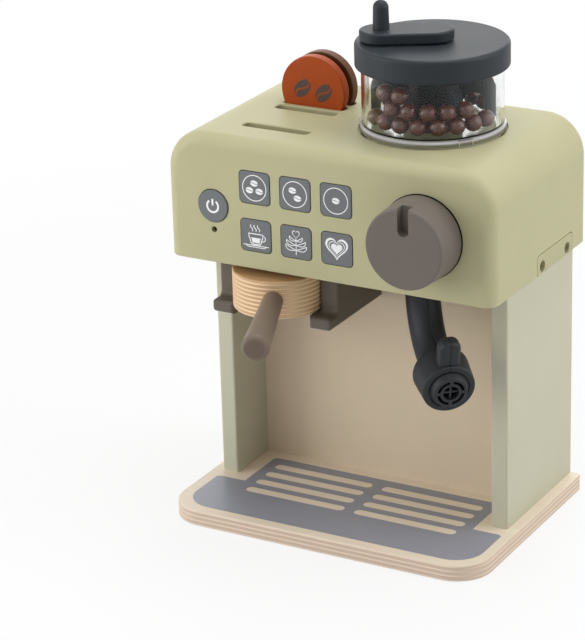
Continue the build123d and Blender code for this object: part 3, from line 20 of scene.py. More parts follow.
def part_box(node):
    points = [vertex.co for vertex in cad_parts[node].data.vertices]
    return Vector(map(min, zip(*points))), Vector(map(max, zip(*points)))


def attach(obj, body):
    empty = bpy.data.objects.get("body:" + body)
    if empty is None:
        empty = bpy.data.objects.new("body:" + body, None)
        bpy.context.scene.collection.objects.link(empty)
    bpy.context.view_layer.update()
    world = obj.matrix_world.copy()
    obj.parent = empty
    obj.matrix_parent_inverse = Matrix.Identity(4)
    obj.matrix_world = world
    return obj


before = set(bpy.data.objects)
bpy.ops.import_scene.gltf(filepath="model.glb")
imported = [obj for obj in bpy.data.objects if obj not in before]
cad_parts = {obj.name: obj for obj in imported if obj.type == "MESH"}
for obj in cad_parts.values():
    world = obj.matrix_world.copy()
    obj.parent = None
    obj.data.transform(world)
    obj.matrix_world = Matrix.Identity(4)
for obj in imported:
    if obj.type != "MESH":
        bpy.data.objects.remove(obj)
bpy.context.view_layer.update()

log = logging.getLogger("coffee_maker")
MM = 0.001
Triple = tuple[float, float, float]
Pair = tuple[float, float]
Colour = Triple
WHITE: Colour = (1.0, 1.0, 1.0)


# ------------------------------------------------------------------ colour and shader tools

def srgb(red: float, green: float, blue: float) -> Colour:
    """Turn display values from 0 to 255 into the linear colour that shaders use.

    Args:
        red: Red display value.
        green: Green display value.
        blue: Blue display value.

    Returns:
        The linear colour: v / 12.92 below the toe, and ((v + 0.055) / 1.055) ** 2.4 above it.
    """
    display = np.array((red, green, blue)) / 255.0
    linear = np.where(display <= 0.04045, display / 12.92, ((display + 0.055) / 1.055) ** 2.4)
    return tuple(float(value) for value in linear)


def shade(colour: Colour, factor: float) -> Colour:
    """Return a colour times a factor, and no brighter than white."""
    return tuple(min(1.0, channel * factor) for channel in colour)


class Wire:
    """A number inside a shader that takes part in Python arithmetic."""

    def __init__(self, bench: "Bench", socket: bpy.types.NodeSocket) -> None:
        """Keep the node tree and the output socket that carries the number."""
        self.bench = bench
        self.socket = socket

    def _math(self, operation: str, *values: Any) -> "Wire":
        """Add one Math node that works on the given values in order."""
        return self.bench.wire("ShaderNodeMath", {"operation": operation}, dict(enumerate(values)))

    def __add__(self, other: Any) -> "Wire":
        """Add a number or a wire."""
        return self._math("ADD", self, other)

    def __sub__(self, other: Any) -> "Wire":
        """Take a number or a wire away."""
        return self._math("SUBTRACT", self, other)

    def __rsub__(self, other: Any) -> "Wire":
        """Take this wire away from a number."""
        return self._math("SUBTRACT", other, self)

    def __mul__(self, other: Any) -> "Wire":
        """Multiply by a number or a wire."""
        return self._math("MULTIPLY", self, other)

    def __truediv__(self, other: Any) -> "Wire":
        """Divide by a number or a wire."""
        return self._math("DIVIDE", self, other)

    def __abs__(self) -> "Wire":
        """Drop the sign."""
        return self._math("ABSOLUTE", self)

    def __neg__(self) -> "Wire":
        """Turn the sign round."""
        return self._math("MULTIPLY", self, -1.0)

    def least(self, other: Any) -> "Wire":
        """Return the smaller of two numbers."""
        return self._math("MINIMUM", self, other)

    def most(self, other: Any) -> "Wire":
        """Return the larger of two numbers."""
        return self._math("MAXIMUM", self, other)

    def rounded(self) -> "Wire":
        """Return the nearest whole number."""
        return self._math("ROUND", self)

    def whole(self) -> "Wire":
        """Return the whole number below."""
        return self._math("FLOOR", self)

    def part(self) -> "Wire":
        """Return what is left after the whole number."""
        return self._math("FRACT", self)

    def hypotenuse(self, other: "Wire") -> "Wire":
        """Return the length of the line across two lengths at right angles."""
        return self._math("SQRT", self * self + other * other)

    def clipped(self) -> "Wire":
        """Keep the number between 0 and 1."""
        return self.most(0.0).least(1.0)

    def rise(self, start: float, end: float) -> "Wire":
        """Return 0 up to the start, 1 from the end on, and a straight rise between them."""
        return ((self - start) / (end - start)).clipped()

    def around(self, middle: float, swing: float) -> "Wire":
        """Turn a share from 0 to 1 into a value that swings about a middle."""
        return self * swing + (middle - swing / 2)


class Bench:
    """One node tree, a material's or the world's, with a single way to add nodes."""

    def __init__(self, owner: bpy.types.ID) -> None:
        """Clear the tree down to its output.

        Args:
            owner: The material or the world that the tree belongs to.
        """
        owner.use_nodes = True
        self.owner = owner
        self.tree = owner.node_tree
        self.tree.nodes.clear()
        kind = "World" if isinstance(owner, bpy.types.World) else "Material"
        self.output = self.tree.nodes.new("ShaderNodeOutput" + kind)

    def node(self, kind: str, settings: dict[str, Any], inputs: dict[Any, Any]) -> bpy.types.Node:
        """Add a node, set it up, then fill its sockets.

        Args:
            kind: The node's type name.
            settings: Properties set first; "stops" holds a ramp's (place, colour) pairs.
            inputs: Values, wires or sockets by input name or number.

        Returns:
            The new node.
        """
        made = self.tree.nodes.new(kind)
        for key, value in settings.items():
            if key == "stops":
                self._set_stops(made.color_ramp, value)
            else:
                setattr(made, key, value)
        for key, value in inputs.items():
            self._fill(made.inputs[key], value)
        return made

    def wire(self, kind: str, settings: dict[str, Any], inputs: dict[Any, Any], out: Any = 0) -> Wire:
        """Add a node and return one of its outputs as a wire."""
        return Wire(self, self.node(kind, settings, inputs).outputs[out])

    def _set_stops(self, ramp: bpy.types.ColorRamp, stops: Sequence[tuple[float, Colour]]) -> None:
        """Give a colour ramp its stops.

        Args:
            ramp: The new ramp, which has two stops.
            stops: At least two pairs of a place from 0 to 1 and a colour.
        """
        while len(ramp.elements) < len(stops):
            ramp.elements.new(1.0)
        for element, (place, colour) in zip(ramp.elements, stops):
            element.position = place
            element.color = (*colour, 1.0)

    def _fill(self, socket: bpy.types.NodeSocket, value: Any) -> None:
        """Link a wire or a socket to an input, or set a plain value.

        Args:
            socket: The input to fill.
            value: A wire, an output socket, a colour without its alpha, or the input's own kind of value.
        """
        if isinstance(value, Wire):
            value = value.socket
        if isinstance(value, bpy.types.NodeSocket):
            self.tree.links.new(value, socket)
        elif isinstance(value, tuple) and len(value) == 3 and socket.type == "RGBA":
            socket.default_value = (*value, 1.0)
        else:
            socket.default_value = value

    def _parts(self, vector: Any) -> tuple[Wire, Wire, Wire]:
        """Split a vector into its three numbers."""
        split = self.node("ShaderNodeSeparateXYZ", {}, {0: vector})
        return tuple(Wire(self, split.outputs[axis]) for axis in range(3))

    @cached_property
    def where(self) -> Wire:
        """The object's coordinates in millimetres, as a vector."""
        coordinates = self.node("ShaderNodeTexCoord", {}, {}).outputs["Object"]
        return self.wire("ShaderNodeVectorMath", {"operation": "SCALE"}, {0: coordinates, "Scale": 1 / MM})

    @cached_property
    def xyz(self) -> tuple[Wire, Wire, Wire]:
        """The object's coordinates in millimetres, one by one."""
        return self._parts(self.where)

    @cached_property
    def facing(self) -> tuple[Wire, Wire, Wire]:
        """The three parts of the surface's own normal."""
        return self._parts(self.node("ShaderNodeNewGeometry", {}, {}).outputs["True Normal"])

    def noise(self, per_mm: float, detail: float = 2.0, rough: float = 0.5,
              along: Triple = (1.0, 1.0, 1.0)) -> Wire:
        """Return soft noise from 0 to 1.

        Args:
            per_mm: Waves per millimetre.
            detail: Number of finer layers.
            rough: Strength of the finer layers.
            along: How much of the rate applies along each axis; fibres run where it is small.

        Returns:
            The noise.
        """
        vector = self.wire("ShaderNodeVectorMath", {"operation": "MULTIPLY"}, {0: self.where, 1: along})
        inputs = {"Vector": vector, "Scale": per_mm, "Detail": detail, "Roughness": rough}
        return self.wire("ShaderNodeTexNoise", {"noise_dimensions": "3D"}, inputs)

    def blend(self, share: Any, first: Any, second: Any) -> Wire:
        """Mix two colours; a share of 0 gives the first."""
        settings = {"data_type": "RGBA", "clamp_factor": True}
        return self.wire("ShaderNodeMix", settings, {0: share, 6: first, 7: second}, out=2)

    def bump(self, height: Wire, distance_mm: float) -> Wire:
        """Return a normal bent by a height from 0 to 1 over a depth in millimetres."""
        inputs = {"Height": height, "Distance": distance_mm * MM, "Strength": 1.0}
        return self.wire("ShaderNodeBump", {}, inputs)

    def rays(self, *kinds: str) -> Wire:
        """Return 1 for light rays of any of the named kinds, and 0 for others."""
        path = self.node("ShaderNodeLightPath", {}, {})
        return reduce(Wire.most, [Wire(self, path.outputs[kind]) for kind in kinds])

    def blend_shaders(self, share: Wire, first: Any, second: Any) -> bpy.types.NodeSocket:
        """Mix two shaders; a share of 0 gives the first."""
        return self.node("ShaderNodeMixShader", {}, {0: share, 1: first, 2: second}).outputs[0]

    def show(self, shader: bpy.types.NodeSocket) -> None:
        """Link a shader to the output."""
        self.tree.links.new(shader, self.output.inputs["Surface"])


# ------------------------------------------------------------------ finishes

@dataclass(frozen=True)
class Coating:
    """What every finish has: a name, and a surface shader that it feeds."""

    name: str

    def feed(self, bench: Bench) -> dict[str, Any]:
        """Return the values and wires of the surface shader's sockets by name."""
        raise NotImplementedError

    def surface(self, bench: Bench) -> bpy.types.NodeSocket:
        """Add the surface shader and return its output."""
        return bench.node("ShaderNodeBsdfPrincipled", {}, self.feed(bench)).outputs[0]

    def material(self) -> bpy.types.Material:
        """Build the material.

        Returns:
            The new material.
        """
        bench = Bench(bpy.data.materials.new(self.name))
        bench.show(self.surface(bench))
        return bench.owner


@dataclass(frozen=True)
class MouldedPlastic(Coating):
    """A fine matte moulding: a spark-eroded grain, faint cloudiness and a soft sheen."""

    colour: Colour
    roughness: float = 0.5
    roughness_swing: float = 0.08
    grain_per_mm: float = 3.0
    grain_depth_mm: float = 0.02
    cloud_per_mm: float = 0.03
    cloud: float = 0.05
    gloss: float = 0.25

    def clouded(self, bench: Bench) -> tuple[Wire, Wire, Wire]:
        """Lay the cloudiness and the grain.

        Args:
            bench: The material's node tree.

        Returns:
            The colour, the roughness and the grain's height.
        """
        grain = bench.noise(self.grain_per_mm, detail=3.0)
        cloud = bench.noise(self.cloud_per_mm)
        colour = bench.blend(cloud, shade(self.colour, 1 - self.cloud), shade(self.colour, 1 + self.cloud))
        return colour, cloud.around(self.roughness, self.roughness_swing), grain

    def feed(self, bench: Bench) -> dict[str, Any]:
        """Feed the shader; the grain's crests are a little lighter.

        Args:
            bench: The material's node tree.

        Returns:
            Values and wires by socket name.
        """
        colour, roughness, grain = self.clouded(bench)
        colour = bench.blend((grain - 0.5) * 0.1, colour, shade(self.colour, 1 + self.cloud))
        return {"Base Color": colour, "Roughness": roughness, "Specular IOR Level": self.gloss,
                "Normal": bench.bump(grain, self.grain_depth_mm)}


@dataclass(frozen=True)
class SeamedPlastic(MouldedPlastic):
    """A moulding in two halves: the same plastic, with painted shade in the sunk parting line between the
    halves.
    """

    cloud_per_mm: float = 0.04
    pivot_mm: Pair = (0.0, 0.0)
    across: Pair = (1.0, 0.0)
    seam_width_mm: float = 0.45
    seam_depth_mm: float = 0.35
    seam_shade: float = 0.15
    grain_share: float = 0.05

    def feed(self, bench: Bench) -> dict[str, Any]:
        """Feed the shader; the seam is where the distance from the parting plane is nearly nothing.

        Args:
            bench: The material's node tree.

        Returns:
            Values and wires by socket name.
        """
        colour, roughness, grain = self.clouded(bench)
        x, y, _ = bench.xyz
        away = abs((x - self.pivot_mm[0]) * self.across[0] + (y - self.pivot_mm[1]) * self.across[1])
        beside = (away / self.seam_width_mm).clipped()
        # Painted shade in the seam's groove: dark where the distance from the parting plane is nearly
        # nothing.
        colour = bench.blend(1.0 - beside, colour, shade(self.colour, self.seam_shade))
        return {"Base Color": colour, "Roughness": roughness, "Specular IOR Level": self.gloss,
                "Normal": bench.bump(grain * self.grain_share + beside, self.seam_depth_mm)}


@dataclass(frozen=True)
class PaintedWood(Coating):
    """Sprayed satin paint on board: the grain still lifts the surface a little, and its ends drink more."""

    colour: Colour
    roughness: float = 0.52
    roughness_swing: float = 0.1
    along: Triple = (1.0, 1.0, 0.06)
    fibre_per_mm: float = 1.6
    fibre_share: float = 0.25
    spray_per_mm: float = 4.0
    spray_share: float = 0.25
    relief_mm: float = 0.05
    cloud_per_mm: float = 0.025
    mottle: float = 0.04
    gloss: float = 0.25
    end_shade: float = 0.0
    end_facing: Pair = (0.8, 1.0)
    thirst_least: float = 0.7
    thirst_swing: float = 0.5

    def feed(self, bench: Bench) -> dict[str, Any]:
        """Feed the shader; the grain's ends look along the axis on which the fibres are longest.

        Args:
            bench: The material's node tree.

        Returns:
            Values and wires by socket name.
        """
        fibre = bench.noise(self.fibre_per_mm, detail=4.0, rough=0.6, along=self.along)
        spray = bench.noise(self.spray_per_mm)
        darker, lighter = shade(self.colour, 1 - self.mottle), shade(self.colour, 1 + self.mottle)
        colour = bench.blend(bench.noise(self.cloud_per_mm), darker, lighter)
        colour = bench.blend(fibre * self.fibre_share, colour, darker)
        if self.end_shade:
            grain_end = abs(bench.facing[self.along.index(min(self.along))]).rise(*self.end_facing)
            thirst = (fibre * self.thirst_swing + self.thirst_least).clipped()
            colour = bench.blend(grain_end * thirst, colour, shade(self.colour, 1 - self.end_shade))
        height = fibre * (1 - self.spray_share) + spray * self.spray_share
        return {"Base Color": colour, "Roughness": fibre.around(self.roughness, self.roughness_swing),
                "Specular IOR Level": self.gloss, "Normal": bench.bump(height, self.relief_mm)}


@dataclass(frozen=True)
class LaidPlywood(Coating):
    """Birch plywood lying flat: a pale face veneer, and edges that show the plies between thin glue lines.

    Every second ply runs crosswise, so that where one shows its long grain the next shows its end grain,
    and the two change places between the edges that look along X and those that look along Y.
    """

    bottom_mm: float
    ply_mm: float
    face: Colour = srgb(240, 226, 206)
    long_grain: Colour = srgb(235, 217, 198)
    end_grain: Colour = srgb(217, 195, 174)
    glue: Colour = srgb(172, 138, 112)
    fleck: Colour = srgb(218, 200, 172)
    glue_share: float = 0.22
    glue_strength: float = 0.8
    waver_share: float = 0.16
    relief_mm: float = 0.08
    edge_roughness: float = 0.58
    face_roughness: float = 0.5
    noise_floor: float = 0.35
    fibre_share: float = 0.5
    pore_share: float = 0.6
    figure_share: float = 0.7
    streak_share: float = 0.35
    streak_reach: Pair = (0.58, 0.913)
    fibre_height: float = 0.4
    glue_depth: float = 0.6
    streak_height: float = 0.25

    def edge(self, bench: Bench) -> tuple[Wire, Wire]:
        """Lay the plies that show at an edge.

        A point's level counts plies from the bottom up and wavers a little. The point shows end grain where
        either its ply is an odd one or its edge looks along X, but not where both hold: a + b - 2 a b.

        Args:
            bench: The material's node tree.

        Returns:
            The edge's colour and height.
        """
        waver = bench.noise(1.0, detail=1.0, along=(0.03, 0.03, 0.0)).around(0.0, self.waver_share)
        level = (bench.xyz[2] - self.bottom_mm) / self.ply_mm + waver
        odd_ply = ((level * 0.5).part() * 2.0).whole()
        sideways = bench.facing[0] * bench.facing[0]
        end_cut = odd_ply + sideways - odd_ply * sideways * 2
        glue_line = (abs(level.part() - 0.5) * 2.0).rise(1 - self.glue_share, 1.0)
        fibres = bench.noise(1.4, detail=3.0, rough=0.6, along=(0.06, 0.06, 3.0))
        pores = bench.noise(3.4, rough=0.7)
        colour = bench.blend(end_cut, self.long_grain, self.end_grain)
        colour = bench.blend((fibres - self.noise_floor) * self.fibre_share, colour, self.end_grain)
        colour = bench.blend((pores - self.noise_floor) * end_cut * self.pore_share, colour, self.glue)
        colour = bench.blend(glue_line * self.glue_strength, colour, self.glue)
        return colour, fibres * self.fibre_height - glue_line * self.glue_depth

    def veneer(self, bench: Bench) -> tuple[Wire, Wire]:
        """Lay the face veneer, whose figure and fine streaks run along X.

        Args:
            bench: The material's node tree.

        Returns:
            The veneer's colour and height.
        """
        figure = bench.noise(1.0, detail=4.0, rough=0.62, along=(0.035, 0.5, 0.5))
        streak = bench.noise(1.0, detail=3.0, rough=0.7, along=(0.12, 2.6, 2.6))
        colour = bench.blend((figure - self.noise_floor) * self.figure_share, self.face, self.fleck)
        colour = bench.blend(streak.rise(*self.streak_reach) * self.streak_share, colour, self.fleck)
        return colour, streak * self.streak_height

    def timber(self, bench: Bench) -> tuple[Wire, Wire, Wire]:
        """Lay the veneer on level faces and the plies on upright ones.

        Args:
            bench: The material's node tree.

        Returns:
            The plywood's colour, its roughness and its height.
        """
        level = abs(bench.facing[2]).rise(0.7, 0.95)
        plies, ply_height = self.edge(bench)
        face, face_height = self.veneer(bench)
        roughness = self.edge_roughness - level * (self.edge_roughness - self.face_roughness)
        return bench.blend(level, plies, face), roughness, ply_height * (1.0 - level) + face_height * level

    def feed(self, bench: Bench) -> dict[str, Any]:
        """Feed the shader with the timber alone."""
        colour, roughness, height = self.timber(bench)
        return {"Base Color": colour, "Roughness": roughness, "Normal": bench.bump(height, self.relief_mm)}


@dataclass(frozen=True)
class DripPrint:
    """The grey print on the base: a wing with a neck behind it and rows of bare slots, in millimetres."""

    middle_x: float = 0.7
    wing_half: float = 91.5
    wing_front: float = -64.0
    wing_back: float = -23.5
    wing_front_corner: float = 17.0
    wing_back_corner: float = 2.6
    neck_half: float = 73.4
    neck_back: float = 12.5
    neck_corner: float = 3.0
    slot_middle: float = 35.2
    slot_half: float = 31.8
    slot_radius: float = 3.0
    row_front: float = -32.0
    row_pitch: float = 11.33
    rows: int = 4
    edge: float = 0.12

    def round_box(self, x: Wire, y: Wire, half: Pair, radius: float) -> Wire:
        """Return the distance outside a rounded rectangle: how far a point lies past its inner corners.

        Args:
            x: Distance across from the rectangle's middle.
            y: Distance in depth from the rectangle's middle.
            half: Half of its width and half of its depth.
            radius: Its corners' radius.

        Returns:
            The distance, which is negative inside.
        """
        past_x = (abs(x) - (half[0] - radius)).most(0.0)
        past_y = (abs(y) - (half[1] - radius)).most(0.0)
        return past_x.hypotenuse(past_y) - radius

    def plate(self, x: Wire, y: Wire) -> Wire:
        """Return the distance outside the print's outline.

        The wing is where two boxes overlap: one has the front corners and one the back corners, and each
        reaches past the other, so that its own far corners don't count. The neck's box starts as far forward
        as the wing does, and counts only behind the wing's front corners.

        Args:
            x: Distance across from the print's middle.
            y: Depth on the base.

        Returns:
            The distance, which is negative inside.
        """
        half = (self.wing_back - self.wing_front) / 2 + self.wing_front_corner
        wing = (self.wing_half, half)
        front = self.round_box(x, y - (self.wing_front + half), wing, self.wing_front_corner)
        back = self.round_box(x, y - (self.wing_back - half), wing, self.wing_back_corner)
        half = (self.neck_back - self.wing_front) / 2
        neck = self.round_box(x, y - (self.wing_front + half), (self.neck_half, half), self.neck_corner)
        return front.most(back).least(neck.most(self.wing_front + self.wing_front_corner - y))

    def mask(self, bench: Bench) -> Wire:
        """Return 1 where there is ink and 0 where the wood is bare.

        Args:
            bench: The material's node tree.

        Returns:
            The ink's cover.
        """
        x, y = bench.xyz[0] - self.middle_x, bench.xyz[1]
        row = ((y - self.row_front) / self.row_pitch).rounded().most(0.0).least(self.rows - 1.0)
        off_row = y - self.row_front - row * self.row_pitch
        off_end = (abs(abs(x) - self.slot_middle) - (self.slot_half - self.slot_radius)).most(0.0)
        slot = off_row.hypotenuse(off_end) - self.slot_radius
        return (0.5 - self.plate(x, y).most(-slot) / self.edge).clipped()


@dataclass(frozen=True)
class PrintedPlywood(LaidPlywood):
    """Plywood whose upper face carries the grey drip print."""

    top_mm: float = 9.6
    ink: Colour = srgb(149, 152, 164)
    ink_in_grain: float = 0.72
    ink_gloss: float = 0.06
    print: DripPrint = field(default_factory=DripPrint)

    def feed(self, bench: Bench) -> dict[str, Any]:
        """Feed the shader; the ink is darker where it sinks into the grain.

        Args:
            bench: The material's node tree.

        Returns:
            Values and wires by socket name.
        """
        colour, roughness, height = self.timber(bench)
        cover = self.print.mask(bench) * bench.xyz[2].rise(self.top_mm - 0.15, self.top_mm - 0.1)
        speckle = bench.noise(2.4, detail=3.0, rough=0.7)
        grain = bench.noise(1.0, detail=4.0, rough=0.7, along=(0.08, 1.4, 1.4))
        sunk = speckle * 0.12 + (grain - 0.4) * 0.8
        colour = bench.blend(cover, colour, bench.blend(sunk, self.ink, shade(self.ink, self.ink_in_grain)))
        return {"Base Color": colour, "Roughness": roughness - cover * self.ink_gloss,
                "Normal": bench.bump(height, self.relief_mm)}


@dataclass(frozen=True)
class StainedWood(Coating):
    """Turned or cut wood under a coloured stain: fine fibres, darker where the end grain drinks it."""

    colour: Colour
    dark: Colour
    along: Triple = (0.08, 1.0, 1.0)
    roughness: float = 0.46
    roughness_swing: float = 0.12
    fibre_per_mm: float = 1.8
    cloud_per_mm: float = 0.12
    cloud: float = 0.25
    streaks: float = 0.55
    relief_mm: float = 0.05
    gloss: float = 0.3

    def feed(self, bench: Bench) -> dict[str, Any]:
        """Feed the shader; streaks and clouds both tend to the dark stain.

        Args:
            bench: The material's node tree.

        Returns:
            Values and wires by socket name.
        """
        fibre = bench.noise(self.fibre_per_mm, detail=5.0, rough=0.65, along=self.along)
        colour = bench.blend(fibre.rise(0.28, 0.905) * self.streaks, self.colour, self.dark)
        colour = bench.blend(bench.noise(self.cloud_per_mm) * self.cloud, colour, self.dark)
        return {"Base Color": colour, "Roughness": fibre.around(self.roughness, self.roughness_swing),
                "Specular IOR Level": self.gloss, "Normal": bench.bump(fibre, self.relief_mm)}


@dataclass(frozen=True)
class ClearPlastic(Coating):
    """Polished clear plastic with a trace of waviness from the mould; lamps shine through it."""

    colour: Colour = (0.96, 0.97, 0.97)
    index: float = 1.45
    mirror: Colour = (0.3, 0.3, 0.3)
    roughness: float = 0.025
    roughness_swing: float = 0.03
    haze_per_mm: float = 0.5
    wave_per_mm: float = 0.06
    wave_depth_mm: float = 0.02

    def feed(self, bench: Bench) -> dict[str, Any]:
        """Feed the glass shader."""
        normal = bench.bump(bench.noise(self.wave_per_mm, detail=1.0), self.wave_depth_mm)
        return {"Base Color": self.colour, "IOR": self.index, "Specular Tint": self.mirror, "Normal": normal,
                "Roughness": bench.noise(self.haze_per_mm).around(self.roughness, self.roughness_swing),
                "Transmission Weight": 1.0}

    def surface(self, bench: Bench) -> bpy.types.NodeSocket:
        """Return a shader that is clear to the rays that look for lamps, and glass to all others."""
        clear = bench.node("ShaderNodeBsdfTransparent", {}, {"Color": self.colour}).outputs[0]
        return bench.blend_shaders(bench.rays("Is Shadow Ray"), super().surface(bench), clear)


@dataclass(frozen=True)
class PaintedLightEdge(Coating):
    """An edge of clear plastic in painted light and shade: its tones change from its low end to its high one.
    """

    low_mm: float
    high_mm: float
    # Painted shade of the well low down, a painted highlight of refracted light in the middle, and darker
    # again at the top.
    tones: tuple[tuple[float, Colour], ...] = (
        (0.0, srgb(112, 110, 92)), (0.35, srgb(126, 124, 106)), (0.5, srgb(166, 162, 166)),
        (0.68, srgb(196, 192, 199)), (0.85, srgb(164, 161, 162)), (1.0, srgb(122, 121, 110)))
    roughness: float = 0.25
    roughness_swing: float = 0.1
    frost_per_mm: float = 1.2
    frost_shift: float = 0.12
    frost_depth_mm: float = 0.02

    def feed(self, bench: Bench) -> dict[str, Any]:
        """Feed the shader; the tone follows the height above the low end, shifted a little by the frost.

        Args:
            bench: The material's node tree.

        Returns:
            Values and wires by socket name.
        """
        frost = bench.noise(self.frost_per_mm, detail=3.0)
        share = (bench.xyz[2] - self.low_mm) / (self.high_mm - self.low_mm)
        share = share + frost.around(0.0, self.frost_shift)
        return {"Base Color": bench.wire("ShaderNodeValToRGB", {"stops": self.tones}, {0: share}),
                "Roughness": frost.around(self.roughness, self.roughness_swing),
                "Normal": bench.bump(frost, self.frost_depth_mm)}


@dataclass(frozen=True)
class TurnedSteel(Coating):
    """Zinc-plated or turned steel with fine tool marks."""

    colour: Colour = srgb(190, 190, 192)
    roughness: float = 0.35
    roughness_swing: float = 0.2
    marks_per_mm: float = 5.0
    marks_depth_mm: float = 0.02

    def feed(self, bench: Bench) -> dict[str, Any]:
        """Feed the shader."""
        marks = bench.noise(self.marks_per_mm, detail=3.0)
        return {"Base Color": self.colour, "Metallic": 1.0, "Normal": bench.bump(marks, self.marks_depth_mm),
                "Roughness": marks.around(self.roughness, self.roughness_swing)}


@dataclass(frozen=True)
class ScreenInk(Coating):
    """A printed line: slightly uneven cover and a dry, even sheen."""

    colour: Colour
    thin_tone: float = 0.8
    thin_share: float = 0.2
    roughness: float = 0.55
    roughness_swing: float = 0.1
    cover_per_mm: float = 6.0

    def feed(self, bench: Bench) -> dict[str, Any]:
        """Feed the shader.

        Args:
            bench: The material's node tree.

        Returns:
            Values and wires by socket name.
        """
        cover = bench.noise(self.cover_per_mm)
        thin = shade(self.colour, self.thin_tone)
        return {"Base Color": bench.blend(cover * self.thin_share, self.colour, thin),
                "Roughness": cover.around(self.roughness, self.roughness_swing)}


class Finish(Enum):
    """The finishes of the coffee maker, each a maker of one material."""

    HOOD = MouldedPlastic("hood_sage", srgb(186, 182, 144))
    HOOD_FLOOR = MouldedPlastic("hood_floor_sage", srgb(182, 178, 141), 0.52)
    PANEL = PaintedWood("panel_sage", srgb(197, 195, 172), 0.55)
    BACK = PaintedWood("back_board_sand", srgb(220, 203, 178), 0.62, along=(0.3, 1.0, 1.0), relief_mm=0.08,
                       mottle=0.05)
    KEY = MouldedPlastic("key_grey", srgb(113, 116, 118))
    DIAL = MouldedPlastic("dial_taupe", srgb(111, 103, 96), 0.48)
    CHARCOAL = MouldedPlastic("lid_charcoal", srgb(35, 41, 46), gloss=0.28)
    CRANK = MouldedPlastic("crank_charcoal", srgb(38, 43, 48))
    STIRRER = MouldedPlastic("stirrer_black", srgb(19, 22, 26), 0.4, gloss=0.15)
    INNER = MouldedPlastic("inner_black", srgb(40, 40, 41), 0.55)
    RAIL = PaintedWood("rail_taupe", srgb(103, 95, 86), 0.5, along=(1.0, 0.08, 1.0))
    HANDLE = PaintedWood("handle_taupe", srgb(118, 103, 90), 0.45, along=(1.0, 0.12, 1.0), end_shade=0.25)
    ORANGE = StainedWood("token_orange", srgb(178, 78, 27), srgb(146, 60, 20), gloss=0.15)
    BROWN = StainedWood("token_brown", srgb(108, 67, 41), srgb(78, 49, 31), gloss=0.2)
    BEAN = StainedWood("bean_brown", srgb(80, 38, 25), srgb(47, 22, 14), (0.4, 1.0, 0.4), 0.27, gloss=0.5)
    CUP = ClearPlastic("cup_clear")
    # Painted light at the cup's foot: a bright band of painted refracted light with painted shade below it,
    # and the grip marks' painted highlights with painted shade on their tops.
    CUP_EDGE = PaintedLightEdge("cup_edge_painted_light", 228.9, 232.5)
    CUP_MARK = PaintedLightEdge("cup_mark_painted_light", 228.9, 232.1, (
        (0.0, srgb(206, 205, 190)), (0.9, srgb(222, 221, 210)),
        (0.94, srgb(84, 82, 88)), (1.0, srgb(74, 72, 78))))
    # Painted shadow: the dark ring in the gap behind the dial.
    GAP_SHADOW = MouldedPlastic("dial_gap_painted_shadow_black", srgb(22, 20, 19), 0.7, gloss=0.1)
    STEEL = TurnedSteel("screw_zinc")
    WHITE_INK = ScreenInk("icon_white", srgb(247, 248, 248))
    BEAN_INK = ScreenInk("bean_mark_brown", srgb(66, 44, 35))
    DOWEL = LaidPlywood("dowel_beech", bottom_mm=100.0, ply_mm=50.0)


@cache
def material_of(finish: Finish | Coating) -> bpy.types.Material:
    """Return a finish's material, built the first time it is asked for."""
    return (finish.value if isinstance(finish, Finish) else finish).material()


# ------------------------------------------------------------------ mesh tools

def node_box(name: str) -> tuple[np.ndarray, np.ndarray]:
    """Return a frame node's low and high corners in millimetres."""
    low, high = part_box(name)
    return np.array(low) / MM, np.array(high) / MM


def node_middle(name: str) -> np.ndarray:
    """Return the middle of a frame node's box in millimetres."""
    return sum(node_box(name)) / 2


def head_middles(name: str, axis: int, side: int, radius_mm: float, slack_mm: float = 0.01) -> np.ndarray:
    """Return the middles of a node's round flat heads that look along one axis.

    The heads share the node's outermost level on that side; a head's middle is that of its points' box. A
    point belongs to the same head as another when it is nearer than the head is wide, and a tenth more.

    Args:
        name: The node's name.
        axis: The number of the axis along which the heads look.
        side: 1 or -1 for the axis's own or opposite direction.
        radius_mm: The heads' radius.
        slack_mm: How far below the outermost level a point may lie.

    Returns:
        Middles in millimetres with the shape (count, 3).
    """
    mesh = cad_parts[name].data
    points = np.empty(len(mesh.vertices) * 3)
    mesh.vertices.foreach_get("co", points)
    points = points.reshape(-1, 3) / MM
    heights = points[:, axis] * side
    left = points[heights > heights.max() - slack_mm]
    middles = []
    while len(left):
        near = np.linalg.norm(left - left[0], axis=1) < radius_mm * 2 * 1.1
        middles.append((left[near].min(axis=0) + left[near].max(axis=0)) / 2)
        left = left[~near]
    return np.array(middles)


def coat(names: Iterable[str], finish: Finish | Coating) -> None:
    """Give frame nodes a finish.

    Args:
        names: The nodes' names.
        finish: A Finish member, or a coating made for one place.
    """
    material = material_of(finish)
    for name in names:
        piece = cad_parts[name]
        if not piece.material_slots:
            piece.data.materials.append(material)
        for slot in piece.material_slots:
            slot.material = material
        log.info("dressed %s in %s", name, material.name)


def turned(profile: np.ndarray, steps: int) -> np.ndarray:
    """Turn a profile about the Z axis: (r, z) at the angle t becomes (r cos t, r sin t, z).

    Args:
        profile: Radii and heights with the shape (count, 2).
        steps: Number of steps round the axis.

    Returns:
        Points with the shape (steps, count, 3).
    """
    t = np.linspace(0, 2 * math.pi, steps, endpoint=False)[:, None]
    radius, height = profile[:, 0], profile[:, 1]
    upright = np.broadcast_to(height, (steps, len(height)))
    return np.stack([radius * np.cos(t), radius * np.sin(t), upright], axis=-1)


def arc(middle: Pair, radii: Pair, start: float, end: float, steps: int) -> np.ndarray:
    """Return points along an ellipse: middle + (right cos t, up sin t) as t runs from the start to the end.

    Args:
        middle: The ellipse's centre.
        radii: Its reach to the right and upward.
        start: First angle in radians.
        end: Last angle in radians.
        steps: Number of points.

    Returns:
        Points with the shape (steps, 2).
    """
    t = np.linspace(start, end, steps)
    return np.stack([radii[0] * np.cos(t), radii[1] * np.sin(t)], axis=1) + middle


